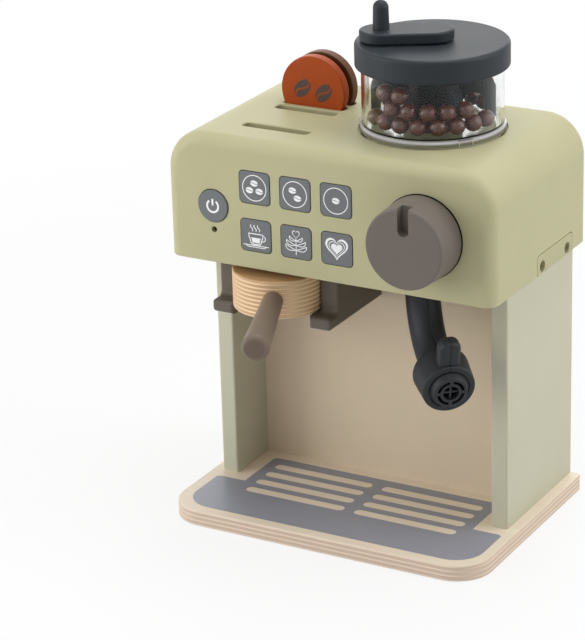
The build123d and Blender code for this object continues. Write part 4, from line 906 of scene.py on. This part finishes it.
@dataclass
class Patchwork:
    """A mesh gathered from grids of points, all in millimetres."""

    name: str
    corners: list[np.ndarray] = field(default_factory=list)
    quads: list[np.ndarray] = field(default_factory=list)
    count: int = 0

    def add_grid(self, grid: np.ndarray, round_first: bool = False, round_second: bool = False) -> None:
        """Add one surface given as a grid of points.

        Each cell of the grid becomes a face with the corners (i, j), (i + 1, j), (i + 1, j + 1), (i, j + 1).

        Args:
            grid: Points with the shape (first, second, 3).
            round_first: Whether the last row joins the first.
            round_second: Whether the last column joins the first.
        """
        rows, columns = grid.shape[:2]
        first = np.arange(rows if round_first else rows - 1)
        second = np.arange(columns if round_second else columns - 1)
        i, j = np.meshgrid(first, second, indexing="ij")
        i_next, j_next = (i + 1) % rows, (j + 1) % columns
        faces = [i * columns + j, i_next * columns + j, i_next * columns + j_next, i * columns + j_next]
        self.corners.append(grid.reshape(-1, 3))
        self.quads.append(np.stack(faces, axis=-1).reshape(-1, 4) + self.count)
        self.count += rows * columns

    def build(self, finish: Finish | Coating, thickness_mm: float = 0.0,
              smooth: bool = False) -> bpy.types.Object:
        """Make the object at the origin, in metres.

        Args:
            finish: The finish that it gets.
            thickness_mm: Thickness given by a Solidify modifier, or 0 for none.
            smooth: Whether faces are shaded smooth.

        Returns:
            The new object.
        """
        mesh = bpy.data.meshes.new(self.name)
        points = np.concatenate(self.corners) * MM
        mesh.from_pydata(points.tolist(), [], np.concatenate(self.quads).tolist())
        mesh.validate()
        mesh.polygons.foreach_set("use_smooth", np.full(len(mesh.polygons), smooth))
        mesh.materials.append(material_of(finish))
        made = bpy.data.objects.new(self.name, mesh)
        bpy.context.scene.collection.objects.link(made)
        if thickness_mm:
            shell = made.modifiers.new("thickness", "SOLIDIFY")
            shell.thickness = thickness_mm * MM
            shell.offset = 1.0
        return made


def settle(piece: bpy.types.Object, body: str) -> None:
    """Let a piece ride on a body.

    Args:
        piece: The finished piece.
        body: The body's name.
    """
    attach(piece, body)
    log.info("added %s on %s", piece.name, body)


# ------------------------------------------------------------------ flat drawings

@dataclass
class Drawing(Patchwork):
    """A flat drawing of lines and filled shapes on a face that looks towards the front."""

    middle: Pair = (0.0, 0.0)
    face_y: float = 0.0
    gap_mm: float = 0.02
    film_mm: float = 0.05

    def add_flat(self, flat: np.ndarray, closed: bool = False) -> None:
        """Add a surface given in drawing coordinates.

        Args:
            flat: Points (right, up) from the drawing's middle, with the shape (first, second, 2).
            closed: Whether the last row joins the first.
        """
        points = np.empty((*flat.shape[:-1], 3))
        points[..., [0, 2]] = flat + self.middle
        points[..., 1] = self.face_y - self.gap_mm
        self.add_grid(points, round_first=closed)

    def line(self, path: np.ndarray, width: float, closed: bool = False) -> None:
        """Draw a line of even width.

        Both edges lie half the width from the path, along the normal of the direction between its neighbours.

        Args:
            path: Points with the shape (count, 2).
            width: Line width in millimetres.
            closed: Whether the line's end joins its start.
        """
        if closed:
            ahead, behind = np.roll(path, -1, axis=0), np.roll(path, 1, axis=0)
        else:
            ahead, behind = np.vstack([path[1:], path[-1:]]), np.vstack([path[:1], path[:-1]])
        run = ahead - behind
        run /= np.maximum(np.linalg.norm(run, axis=1, keepdims=True), 1e-9)
        aside = np.stack([-run[:, 1], run[:, 0]], axis=1) * width / 2
        self.add_flat(np.stack([path + aside, path - aside], axis=1), closed)

    def fill(self, low: np.ndarray, high: np.ndarray, steps: int = 5) -> None:
        """Fill the space between two lines of equal length, by straight steps from one to the other."""
        share = np.linspace(0.0, 1.0, steps)[None, :, None]
        self.add_flat(low[:, None, :] * (1 - share) + high[:, None, :] * share)

    def band(self, outer: np.ndarray, inner: np.ndarray) -> None:
        """Fill the space between two closed lines of equal length."""
        self.add_flat(np.stack([outer, inner], axis=1), closed=True)

    def ring(self, radius: float, width: float, steps: int = 96) -> None:
        """Draw a circle round the middle."""
        self.line(arc((0.0, 0.0), (radius, radius), 0.0, 2 * math.pi, steps + 1)[:-1], width, closed=True)

    def bean(self, at: Pair, size: Pair, slit: float, tilt: float, bend: float, steps: int = 33) -> None:
        """Fill a coffee bean: an ellipse in two halves on either side of a wavy slit.

        The slit's middle line is a sine over the bean's length; each half runs from it to the ellipse.

        Args:
            at: Centre in the drawing.
            size: Length and height of the bean.
            slit: Width of the bare slit.
            tilt: Turn of the bean in radians.
            bend: How far the slit swings, as a share of the height; its sign picks the S or the mirrored S.
            steps: Number of points along the bean.
        """
        length, height = size
        along = np.cos(np.linspace(math.pi, 0, steps))
        outline = np.sqrt(np.maximum(1 - along ** 2, 0)) * height / 2
        wave = bend * height * np.sin(along * math.pi)
        half_slit = np.minimum(slit / 2, outline)
        spin = np.array([[math.cos(tilt), math.sin(tilt)], [-math.sin(tilt), math.cos(tilt)]])
        for side in (1, -1):
            edge = np.clip(wave + side * half_slit, -outline, outline)
            inner, outer = (np.stack([along * length / 2, level], axis=1) @ spin + at
                            for level in (edge, side * outline))
            self.fill(inner, outer)

    def finish(self, finish: Finish, body: str, slot: str) -> None:
        """Make the drawing's object, turn its faces to the front and let it ride on its body.

        Args:
            finish: The ink.
            body: The body's name.
            slot: Not used.
        """
        made = self.build(finish, self.film_mm)
        for polygon in made.data.polygons:
            if polygon.normal.y > 0:
                polygon.flip()
        made.data.update()
        settle(made, body)


def heart(scale: float, steps: int = 72, lift: float = 2.2) -> np.ndarray:
    """Return a heart's outline about its middle.

    At t it lies 16 sin^3 t across and 13 cos t - 5 cos 2t - 2 cos 3t - cos 4t + lift upward, all times
    scale / 16.

    Args:
        scale: Half of the heart's width.
        steps: Number of points.
        lift: What brings the outline's middle to the origin.

    Returns:
        Points with the shape (steps, 2).
    """
    t = np.linspace(0, 2 * math.pi, steps, endpoint=False)
    upward = 13 * np.cos(t) - 5 * np.cos(2 * t) - 2 * np.cos(3 * t) - np.cos(4 * t) + lift
    return np.stack([16 * np.sin(t) ** 3, upward], axis=1) * scale / 16


class Icon(Enum):
    """The drawings on the keys."""

    POWER = "power"
    THREE_BEANS = "three_beans"
    TWO_BEANS = "two_beans"
    ONE_BEAN = "one_bean"
    CUP = "steaming_cup"
    LEAF = "leaf"
    HEART = "heart"


@dataclass
class IconArtist:
    """Draws the icons, with line widths, sizes and places in millimetres."""

    line_width: float = 0.5
    bean_size: Pair = (4.7, 3.5)
    bean_slit: float = 0.36
    bean_tilt: float = -0.05
    bean_bend: float = -0.08
    bean_ring: float = 7.3
    bean_places: dict[Icon, tuple[Pair, ...]] = field(default_factory=lambda: {
        Icon.THREE_BEANS: ((-0.1, 2.7), (-3.1, -1.5), (3.0, -1.6)),
        Icon.TWO_BEANS: ((-1.4, 2.1), (1.6, -2.1)),
        Icon.ONE_BEAN: ((0.0, 0.0),),
    })
    power_radius: float = 3.5
    power_width: float = 1.15
    power_gap_deg: float = 36.0
    power_bar: Pair = (0.4, 4.2)
    cup_rim: Pair = (4.5, 1.1)
    coffee_level: float = -1.1
    saucer_level: float = -5.6
    steam_starts: Triple = (-2.2, 0.0, 2.2)
    leaf_pairs: tuple[tuple[float, Pair, float], ...] = (
        (-4.3, (6.3, -1.5), 0.95), (-1.5, (5.8, 1.2), 0.85), (1.1, (4.0, 3.4), 0.7))
    heart_bands: tuple[Pair, ...] = ((7.0, 5.75), (4.95, 4.45), (3.5, 0.1))

    def draw(self, icon: Icon, key: str) -> None:
        """Draw one icon on the front of a key.

        Args:
            icon: Which drawing to make.
            key: The key's node.
        """
        middle = node_middle(key)
        drawing = Drawing("icon_" + icon.value, middle=(middle[0], middle[2]), face_y=node_box(key)[0][1])
        painters: dict[Icon, Callable[[Drawing], None]] = {
            Icon.POWER: self._power, Icon.CUP: self._cup, Icon.LEAF: self._leaf, Icon.HEART: self._heart}
        if icon in self.bean_places:
            self._beans(drawing, self.bean_places[icon])
        else:
            painters[icon](drawing)
        drawing.finish(Finish.WHITE_INK, key + "_body", "key_plastic")

    def _beans(self, drawing: Drawing, places: Sequence[Pair]) -> None:
        """Draw a ring with beans inside it.

        Args:
            drawing: The drawing to add to.
            places: The beans' centres.
        """
        drawing.ring(self.bean_ring, self.line_width)
        for place in places:
            drawing.bean(place, self.bean_size, self.bean_slit, self.bean_tilt, self.bean_bend)

    def _power(self, drawing: Drawing) -> None:
        """Draw a ring open at its top and a short upright bar in the opening.

        Args:
            drawing: The drawing to add to.
        """
        gap = math.radians(self.power_gap_deg)
        radii = (self.power_radius, self.power_radius)
        drawing.line(arc((0.0, 0.0), radii, math.pi / 2 + gap, math.pi * 2.5 - gap, 64), self.power_width)
        drawing.line(np.array([(0.0, level) for level in self.power_bar]), self.power_width)

    def _cup(self, drawing: Drawing) -> None:
        """Draw a half-full cup on its saucer under three curls of steam.

        Args:
            drawing: The drawing to add to.
        """
        width, (rim_half, rim) = self.line_width, self.cup_rim
        corner = arc((-1.7, -3.4), (1.6, 1.5), math.pi, 1.5 * math.pi, 12)
        side = np.vstack([[-rim_half, rim], [0.2 - rim_half, -0.5], corner])
        drawing.line(np.vstack([side, (side * (-1, 1))[::-1]]), width * 1.15)
        drawing.line(np.array([[-0.3 - rim_half, rim], [0.3 + rim_half, rim]]), width * 1.2)
        share = np.linspace(1.0, 0.0, 9)
        coffee = np.stack([3.15 - 0.9 * share ** 0.5, self.coffee_level - 2.9 * share], axis=1)
        drawing.fill(coffee * (-1, 1), coffee)
        drawing.line(arc((3.9, self.coffee_level), (2.1, 1.75), -0.5 * math.pi, 0.5 * math.pi, 24), width)
        saucer = (0.0, self.saucer_level)
        drawing.line(np.array([(-8.0, 0.0), (8.0, 0.0)]) + saucer, width)
        dish = np.array([(-6.5, -0.1), (-5.2, -1.0), (5.2, -1.0), (6.5, -0.1)]) + saucer
        drawing.line(dish, width * 0.9)
        rise = np.linspace(0, 1, 28)
        for start in self.steam_starts:
            drift = start - 0.7 * rise + 0.5 * np.sin(rise * 2 * math.pi)
            drawing.line(np.stack([drift, 2.6 + 3.7 * rise], axis=1), width)

    def _leaf(self, drawing: Drawing) -> None:
        """Draw a leaf: a stem, three pairs of side leaves that bend upward, and a heart at the tip.

        A side leaf's middle line is the bend (1 - t)^2 * base + 2 t (1 - t) * knee + t^2 * tip. Its outline
        lies belly * sin(pi t) to each side of it.

        Args:
            drawing: The drawing to add to.
        """
        width = self.line_width * 0.9
        drawing.line(np.array([[0.0, -7.2], [0.0, 2.6]]), width)
        t = np.linspace(0, 1, 24)[:, None]
        for base, (reach, top), belly in self.leaf_pairs:
            for side in (-1, 1):
                knee = np.array([side * reach * 0.92, base - 0.1])
                middle = (1 - t) ** 2 * (0.0, base) + 2 * t * (1 - t) * knee + t ** 2 * (side * reach, top)
                run = np.gradient(middle, axis=0)
                run /= np.linalg.norm(run, axis=1, keepdims=True)
                out = np.stack([-run[:, 1], run[:, 0]], axis=1) * belly * np.sin(math.pi * t)
                drawing.line(np.vstack([middle + out, (middle - out)[::-1]]), width, closed=True)
        drawing.band(*(heart(size) * (1, 1.15) + (0.0, 4.5) for size in (2.35, 2.35 - width)))

    def _heart(self, drawing: Drawing) -> None:
        """Draw three hearts inside one another: a thick line, a thin line and a solid middle."""
        for outer, inner in self.heart_bands:
            drawing.band(heart(outer), heart(inner))


# ------------------------------------------------------------------ sub-assemblies

class SubAssembly:
    """A group of pieces that are built and dressed together."""

    def build(self) -> None:
        """Add the pieces that the frame lacks, which is none unless the sub-assembly says so."""

    def dress(self) -> None:
        """Give the frame's pieces their finishes."""
        raise NotImplementedError


@dataclass
class ScrewHeads:
    """The domed heads of one node's screws, each with a cross recess for the driver."""

    node: str
    axis: int
    side: int
    place: str = ""
    radius: float = 2.7
    rise: float = 0.33
    arm_length: float = 1.6
    arm_width: float = 0.8
    arm_slope: float = 0.12
    recess_share: float = 0.95
    pole: float = 0.02
    rings: int = 22
    spokes: int = 72

    def height(self, right: np.ndarray, up: np.ndarray) -> np.ndarray:
        """Return the head's height over its flat.

        The dome is rise * (1 - (r / radius) ** 4). It loses nearly all of its height inside the cross, where
        the smaller of |right| and |up| is under half the arm's width and the larger is under its length.

        Args:
            right: Distances across from the head's middle.
            up: Distances upward from it.

        Returns:
            The heights.
        """
        dome = self.rise * (1 - (np.hypot(right, up) / self.radius) ** 4)
        depths = (self.arm_width / 2 - np.minimum(abs(right), abs(up)),
                  self.arm_length - np.maximum(abs(right), abs(up)))
        narrow, short = (np.clip(depth / self.arm_slope + 0.5, 0, 1) for depth in depths)
        return dome * (1 - narrow * short * self.recess_share)

    def build(self, body: str, slot: str) -> None:
        """Set a head over every screw of the node, as a grid of rings and spokes.

        Args:
            body: The body that they ride on.
            slot: Not used.
        """
        patches = Patchwork(f"{self.place}{self.node}_heads")
        spokes = np.linspace(0, 2 * math.pi, self.spokes, endpoint=False)
        away, turn = np.meshgrid(np.linspace(self.pole, self.radius, self.rings), spokes)
        right, up = away * np.cos(turn), away * np.sin(turn)
        others = [number for number in range(3) if number != self.axis]
        for middle in head_middles(self.node, self.axis, self.side, self.radius):
            grid = np.empty((*away.shape, 3))
            grid[..., others] = middle[others] + np.stack([right, up], axis=-1)
            grid[..., self.axis] = middle[self.axis] + self.side * self.height(right, up)
            facing = self.side if self.axis != 1 else -self.side
            patches.add_grid(grid if facing > 0 else grid[:, ::-1], round_first=True)
        settle(patches.build(Finish.STEEL, smooth=True), body)


@dataclass
class WoodenBody(SubAssembly):
    """The plywood base, the painted boards and all the screws."""

    base_plies: int = 7
    screws: tuple[ScrewHeads, ...] = (
        ScrewHeads("base_screws", 2, -1), ScrewHeads("hood_floor_screws", 2, -1),
        ScrewHeads("fixing_tab_screws", 0, -1, "left_"), ScrewHeads("fixing_tab_screws", 0, 1, "right_"))

    def build(self) -> None:
        """Set the domed heads over the screws that can be seen."""
        for heads in self.screws:
            heads.build("machine", "screw_steel")

    def dress(self) -> None:
        """Give the boards their wood and paint, and every screw its zinc."""
        low, high = node_box("base_board")
        ply = (high[2] - low[2]) / self.base_plies
        coat(["base_board"], PrintedPlywood("base_birch", low[2], ply, top_mm=high[2]))
        coat(["left_side_panel", "right_side_panel"], Finish.PANEL)
        coat(["back_panel"], Finish.BACK)
        kinds = ("base", "hood_floor", "fixing_tab", "rail", "carrier")
        coat([kind + "_screws" for kind in kinds], Finish.STEEL)


@dataclass
class Hood(SubAssembly):
    """The moulded hood with its floor, inner carrier and rails below."""

    def dress(self) -> None:
        """Give the mouldings and rails their finishes."""
        coat(["hood_shell", "rack_tray", "feed_tray"], Finish.HOOD)
        coat(["hood_floor"], Finish.HOOD_FLOOR)
        coat(["button_carrier"], Finish.INNER)
        coat(["left_portafilter_rail", "right_portafilter_rail"], Finish.RAIL)


@dataclass
class Keys(SubAssembly):
    """The seven push buttons with their icons."""

    artist: IconArtist = field(default_factory=IconArtist)
    icons: dict[str, Icon] = field(default_factory=lambda: {
        "power_button": Icon.POWER,
        "upper_left_key": Icon.THREE_BEANS,
        "upper_middle_key": Icon.TWO_BEANS,
        "upper_right_key": Icon.ONE_BEAN,
        "lower_left_key": Icon.CUP,
        "lower_middle_key": Icon.LEAF,
        "lower_right_key": Icon.HEART,
    })

    def build(self) -> None:
        """Draw every icon on its key."""
        for key, icon in self.icons.items():
            self.artist.draw(icon, key)

    def dress(self) -> None:
        """Give the keys their plastic."""
        coat(self.icons, Finish.KEY)


@dataclass
class Dial(SubAssembly):
    """The turning knob with its shaft and clip, over a thin dark ring of painted shadow in the gap behind it.
    """

    # The ring is painted shadow: a dark sheet where the gap between the knob and the hood lies in shade.
    shadow_ring_reach: float = 0.4
    shadow_ring_hole: float = 12.0
    shadow_ring_thickness: float = 0.35
    shadow_ring_standoff: float = 0.02
    shadow_ring_steps: int = 128

    def build(self) -> None:
        """Lay the painted shadow on the hood's front: a dark flat ring turned about the shaft's line, where
        the gap behind the knob is in shade.
        """
        low, high = node_box("dial_knob")
        middle = node_middle("dial_shaft")
        hole, radius = self.shadow_ring_hole, (high[0] - low[0]) / 2 + self.shadow_ring_reach
        wall = node_box("hood_shell")[0][1]
        front, back = wall - self.shadow_ring_thickness, wall - self.shadow_ring_standoff
        profile = np.array([(hole, front), (radius, front), (radius, back), (hole, back)])
        grid = turned(profile, self.shadow_ring_steps)[..., [0, 2, 1]] + (middle[0], 0.0, middle[2])
        patches = Patchwork("dial_gap_painted_shadow")
        patches.add_grid(grid, round_first=True, round_second=True)
        settle(patches.build(Finish.GAP_SHADOW), "machine")

    def dress(self) -> None:
        """Give the dial its finishes."""
        coat(["dial_knob"], Finish.DIAL)
        coat(["dial_shaft"], Finish.STEEL)
        coat(["dial_clip"], Finish.INNER)


@dataclass
class Hopper(SubAssembly):
    """The clear cup, its lid, the crank and the beans that it stirs.

    The band at the foot and the grip marks' edges are drawn in painted light and shade: they stand up to
    1.8 mm off the wall of the solid cup, whose own foot is lower and has no marks.
    """

    foot_radius: float = 39.9
    foot_step: float = 1.0
    foot_chamfer: float = 0.9
    foot_top: float = 231.6
    edge_low: float = 228.9
    edge_rise: float = 0.9
    edge_steps: int = 192
    skin: float = 0.08
    mark_radius: float = 40.6
    mark_levels: Pair = (228.9, 231.9)
    mark_start: float = -37.5
    mark_angle: float = 11.8
    mark_count: int = 3
    mark_line: float = 0.36
    mark_steps: int = 12
    arm_radius: float = 12.0
    arm_thickness: float = 4.3
    apron_drop: float = 1.5
    apron_overlap: float = 3.0
    apron_corner: float = 0.6
    apron_steps: int = 40

    @property
    def wall_radius(self) -> float:
        """The outer radius of the cup's wall above its foot."""
        return self.foot_radius - self.foot_step

    def build(self) -> None:
        """Add the cup's band of painted light and shade, the painted edges of its grip marks and the apron
        under the crank arm.
        """
        axis = (*node_middle("hopper_lid")[:2], 0.0)
        self._build_cup_edge(axis)
        self._build_mark_edges(axis)
        self._build_apron()

    def _build_cup_edge(self, axis: Triple) -> None:
        """Wrap the cup's foot in a thin band of painted light and shade that makes it look higher, with a
        chamfer at its top.

        Args:
            axis: Where the cup's axis meets the ground.
        """
        foot, wall = self.foot_radius + self.skin, self.wall_radius + self.skin
        outer = np.array([(foot, self.edge_low),
                          (foot, self.foot_top - self.foot_chamfer),
                          (wall + self.skin, self.foot_top + self.skin),
                          (wall, self.foot_top + self.edge_rise)])
        inner = outer[::-1] - (self.skin * 2, 0.0)
        band = turned(np.vstack([outer, inner]), self.edge_steps) + axis
        patches = Patchwork("cup_foot_edge")
        patches.add_grid(band, round_first=True, round_second=True)
        settle(patches.build(Finish.CUP_EDGE), "machine")

    def _bar(self, radii: Pair, heights: Pair, angles: Pair) -> np.ndarray:
        """Return a bar about the cup's axis: a rectangle carried round it, with both ends closed.

        Args:
            radii: Inner and outer radius.
            heights: Bottom and top.
            angles: First and last angle in degrees.

        Returns:
            Points with the shape (steps + 2, 4, 3).
        """
        turn = np.radians(np.linspace(*angles, self.mark_steps))[:, None]
        radius = np.array(radii)[[0, 1, 1, 0]]
        height = np.broadcast_to(np.array(heights)[[0, 0, 1, 1]], (self.mark_steps, 4))
        bar = np.stack([radius * np.cos(turn), radius * np.sin(turn), height], axis=-1)
        ends = np.broadcast_to(bar[[0, -1]].mean(axis=1, keepdims=True), (2, 4, 3))
        return np.concatenate([ends[:1], bar, ends[1:]])

    def _build_mark_edges(self, axis: Triple) -> None:
        """Draw painted light on each grip mark: a painted highlight along its front outline and painted shade
        on its top.

        Args:
            axis: Where the cup's axis meets the ground.
        """
        patches = Patchwork("cup_mark_edges")
        (bottom, top), line = self.mark_levels, self.mark_line
        lift, reach = self.skin / 4, self.skin * 1.5
        front, above = (self.mark_radius + lift, self.mark_radius + reach), (top + lift, top + reach)
        wall = self.wall_radius + self.skin * 2
        sweep = math.degrees(line / self.mark_radius)
        for middle in self.mark_start + np.arange(self.mark_count) * 360 / self.mark_count:
            first, last = middle - self.mark_angle / 2, middle + self.mark_angle / 2
            bars = [(front, (top - line, top), (first, last)), ((wall, wall + line), above, (first, last))]
            for side in ((first, first + sweep), (last - sweep, last)):
                bars += [(front, (bottom, top - line), side), ((wall + line, front[0]), above, side)]
            for bar in bars:
                patches.add_grid(self._bar(*bar) + axis, round_second=True)
        settle(patches.build(Finish.CUP_MARK), "machine")

    def _build_apron(self) -> None:
        """Deepen the crank arm's edge towards the lid.

        The apron's outline keeps an even distance from the line between shaft and peg. Its section is a flat
        bottom with a rounded corner and an upright side.
        """
        shaft, peg = (node_middle(name)[:2] for name in ("crank_shaft", "crank_peg"))
        bottom = node_box("crank_arm")[1][2] - self.arm_thickness - self.apron_drop
        half_turn = np.linspace(-math.pi / 2, math.pi / 2, self.apron_steps)
        turns = np.concatenate([half_turn, half_turn + math.pi]) + math.atan2(*(peg - shaft)[::-1])
        out = np.stack([np.cos(turns), np.sin(turns)], axis=1)
        centres = np.repeat([peg, shaft], self.apron_steps, axis=0)
        radius, corner = self.arm_radius + self.skin / 4, np.linspace(-math.pi / 2, 0, 8)
        reach = [0.0, radius / 2, *(radius + self.apron_corner * (np.cos(corner) - 1)), radius]
        level = [0.0, 0.0, *(self.apron_corner * (np.sin(corner) + 1)), self.apron_drop + self.apron_overlap]
        grid = np.empty((len(turns), len(reach), 3))
        grid[..., :2] = centres[:, None] + out[:, None] * np.array(reach)[:, None]
        grid[..., 2] = bottom + np.array(level)
        patches = Patchwork("crank_arm_apron")
        patches.add_grid(grid, round_first=True)
        settle(patches.build(Finish.CRANK), "crank")

    def dress(self) -> None:
        """Give the hopper its finishes."""
        coat(["hopper_cup"], Finish.CUP)
        coat(["hopper_lid"], Finish.CHARCOAL)
        coat(["crank_arm", "crank_peg"], Finish.CRANK)
        coat(["crank_shaft"], Finish.STEEL)
        coat(["stirrer"], Finish.STIRRER)
        coat(["coffee_beans"], Finish.BEAN)


@dataclass
class Portafilter(SubAssembly):
    """The layered disc with its turned handle."""

    plies: int = 18
    top: Colour = srgb(198, 158, 112)
    top_fleck: Colour = srgb(172, 130, 86)
    light_ply: Colour = srgb(244, 214, 172)
    dark_ply: Colour = srgb(204, 166, 124)
    glue: Colour = srgb(158, 114, 80)

    def dress(self) -> None:
        """Give the disc its plies, the handle its paint and the dowel its wood."""
        low, high = node_box("portafilter_disc")
        coat(["portafilter_disc"], LaidPlywood(
            "disc_birch", low[2], (high[2] - low[2]) / self.plies, face=self.top, fleck=self.top_fleck,
            long_grain=self.light_ply, end_grain=self.dark_ply, glue=self.glue))
        coat(["portafilter_handle"], Finish.HANDLE)
        coat(["handle_dowel"], Finish.DOWEL)


@dataclass
class SteamWand(SubAssembly):
    """The two-part wand: its parting line lies in the plane of its bend."""

    colour: Colour = srgb(38, 40, 44)
    roughness: float = 0.45

    def dress(self) -> None:
        """Give the wand its plastic, with the parting line in the plane of spigot and nozzle."""
        pivot = node_middle("wand_spigot")[:2]
        reach = node_middle("nozzle_ring")[:2] - pivot
        reach /= np.linalg.norm(reach)
        halves = SeamedPlastic("wand_black", self.colour, self.roughness, pivot_mm=tuple(pivot.tolist()),
                               across=(float(-reach[1]), float(reach[0])))
        coat(["wand_left_half", "wand_right_half"], halves)
        parts = MouldedPlastic("wand_parts_black", self.colour, self.roughness)
        coat(["nozzle_ring", "wand_spigot", "wand_clip"], parts)


@dataclass
class Tokens(SubAssembly):
    """The two wooden coffee tokens; the front one carries two bean marks."""

    mark_places: tuple[Pair, ...] = ((-6.6, 0.9), (6.9, -0.4))
    mark_size: Pair = (12.6, 8.3)
    mark_slit: float = 1.0
    mark_tilt: float = 0.8
    mark_bend: float = -0.16

    def build(self) -> None:
        """Print the bean marks on the orange token's front face."""
        middle = node_middle("orange_token")
        drawing = Drawing("bean_marks", middle=(middle[0], middle[2]), face_y=node_box("orange_token")[0][1])
        for place in self.mark_places:
            drawing.bean(place, self.mark_size, self.mark_slit, self.mark_tilt, self.mark_bend)
        drawing.finish(Finish.BEAN_INK, "orange_token_body", "orange_wood")

    def dress(self) -> None:
        """Give the tokens their stained wood."""
        coat(["orange_token"], Finish.ORANGE)
        coat(["brown_token"], Finish.BROWN)


# ------------------------------------------------------------------ studio

@dataclass(frozen=True)
class Lamp:
    """A square soft lamp, with its place and side in metres and its power in watts."""

    name: str
    at: Triple
    side: float
    power: float

    def hang(self, aim: Triple) -> None:
        """Hang the lamp at its place.

        Args:
            aim: The place that it points at, in metres.
        """
        data = bpy.data.lights.new(self.name, "AREA")
        data.shape = "SQUARE"
        data.size = self.side
        data.energy = self.power
        lamp = bpy.data.objects.new(self.name, data)
        lamp.location = self.at
        lamp.rotation_euler = (Vector(aim) - Vector(self.at)).to_track_quat("-Z", "Y").to_euler()
        bpy.context.scene.collection.objects.link(lamp)


@dataclass
class Studio:
    """A pale floor, an even sky, soft lamps and the camera, with lengths in metres unless their names say mm.

    The focal length is a share of the picture's longer side.
    """

    camera_at: Triple = (0.700743, -1.308653, 0.701802)
    azimuth_deg: float = 29.88
    elevation_deg: float = 21.57
    roll_deg: float = -1.67
    focal_share: float = 2840.7 / 640
    sensor_mm: float = 36.0
    clip: Pair = (0.05, 20.0)
    background_rays: tuple[str, ...] = ("Is Camera Ray", "Is Glossy Ray", "Is Transmission Ray")
    fill: float = 0.2
    floor_colour: Colour = (0.85, 0.85, 0.85)
    floor_white: float = 0.8
    floor_half: float = 6.0
    floor_level: float = -0.0002
    shadow_reach_mm: float = 350.0
    aim: Triple = (0.0, 0.0, 0.15)
    lamps: tuple[Lamp, ...] = (
        Lamp("left_softbox", (-0.95, -0.75, 0.35), 0.7, 5.6),
        Lamp("near_left_softbox", (-0.55, -0.62, 0.55), 0.6, 1.2),
        Lamp("front_softbox", (-0.2, -1.1, 0.9), 0.8, 2.0),
        Lamp("right_softbox", (1.15, 0.25, 0.7), 1.0, 8.2),
        Lamp("top_softbox", (0.1, 0.2, 1.6), 1.2, 14.5),
        Lamp("back_softbox", (-0.5, 1.5, 0.6), 1.2, 6.3))

    def camera(self) -> None:
        """Place the camera: right, up and back are the columns of its matrix."""
        azimuth, elevation, roll = np.radians((self.azimuth_deg, self.elevation_deg, self.roll_deg)).tolist()
        right = Vector((math.cos(azimuth), math.sin(azimuth), 0))
        level = Vector((-math.sin(azimuth), math.cos(azimuth), 0))
        ahead = level * math.cos(elevation) - Vector((0, 0, math.sin(elevation)))
        up = right.cross(ahead)
        turned_right = right * math.cos(roll) + up * math.sin(roll)
        turned_up = up * math.cos(roll) - right * math.sin(roll)
        data = bpy.data.cameras.new("camera")
        data.sensor_width = self.sensor_mm
        data.lens = self.focal_share * self.sensor_mm
        data.clip_start, data.clip_end = self.clip
        eye = bpy.data.objects.new("camera", data)
        turn = Matrix((turned_right, turned_up, -ahead)).transposed().to_4x4()
        eye.matrix_world = Matrix.Translation(self.camera_at) @ turn
        bpy.context.scene.collection.objects.link(eye)
        bpy.context.scene.camera = eye

    def backdrop(self) -> None:
        """Lay a floor that looks white and takes the toy's shadow; far from the toy it is all white."""
        bench = Bench(bpy.data.materials.new("studio_white"))
        far = bench.xyz[0].hypotenuse(bench.xyz[1]).rise(self.shadow_reach_mm, self.shadow_reach_mm * 2)
        white = bench.rays(*self.background_rays) * (far * (1 - self.floor_white) + self.floor_white)
        matte = bench.node("ShaderNodeBsdfDiffuse", {}, {"Color": self.floor_colour}).outputs[0]
        glow = bench.node("ShaderNodeEmission", {}, {"Color": WHITE, "Strength": 1.0}).outputs[0]
        bench.show(bench.blend_shaders(white, matte, glow))
        signs = ((-1, -1), (1, -1), (1, 1), (-1, 1))
        corners = [(x * self.floor_half, y * self.floor_half, 0) for x, y in signs]
        mesh = bpy.data.meshes.new("studio_floor")
        mesh.from_pydata(corners, [], [(0, 1, 2, 3)])
        mesh.materials.append(bench.owner)
        floor = bpy.data.objects.new("studio_floor", mesh)
        floor.location.z = self.floor_level
        bpy.context.scene.collection.objects.link(floor)

    def sky(self) -> None:
        """Fill the world with even white light, and show it as plain white."""
        bench = Bench(bpy.data.worlds.new("studio_sky"))
        strength = bench.rays(*self.background_rays) * (1 - self.fill) + self.fill
        bench.show(bench.node("ShaderNodeBackground", {}, {"Color": WHITE, "Strength": strength}).outputs[0])
        bpy.context.scene.world = bench.owner

    def build(self) -> None:
        """Set up the whole studio."""
        bpy.context.scene.view_settings.view_transform = "Standard"
        self.camera()
        self.backdrop()
        self.sky()
        for lamp in self.lamps:
            lamp.hang(self.aim)


def main() -> None:
    """Build and dress each sub-assembly in order."""
    logging.basicConfig(level=logging.INFO, format="%(name)s: %(message)s")
    Studio().build()
    for assembly in (WoodenBody(), Hood(), Keys(), Dial(), Hopper(), Portafilter(), SteamWand(), Tokens()):
        assembly.build()
        assembly.dress()
        log.info("finished %s", type(assembly).__name__)


if __name__ == "__main__":
    main()
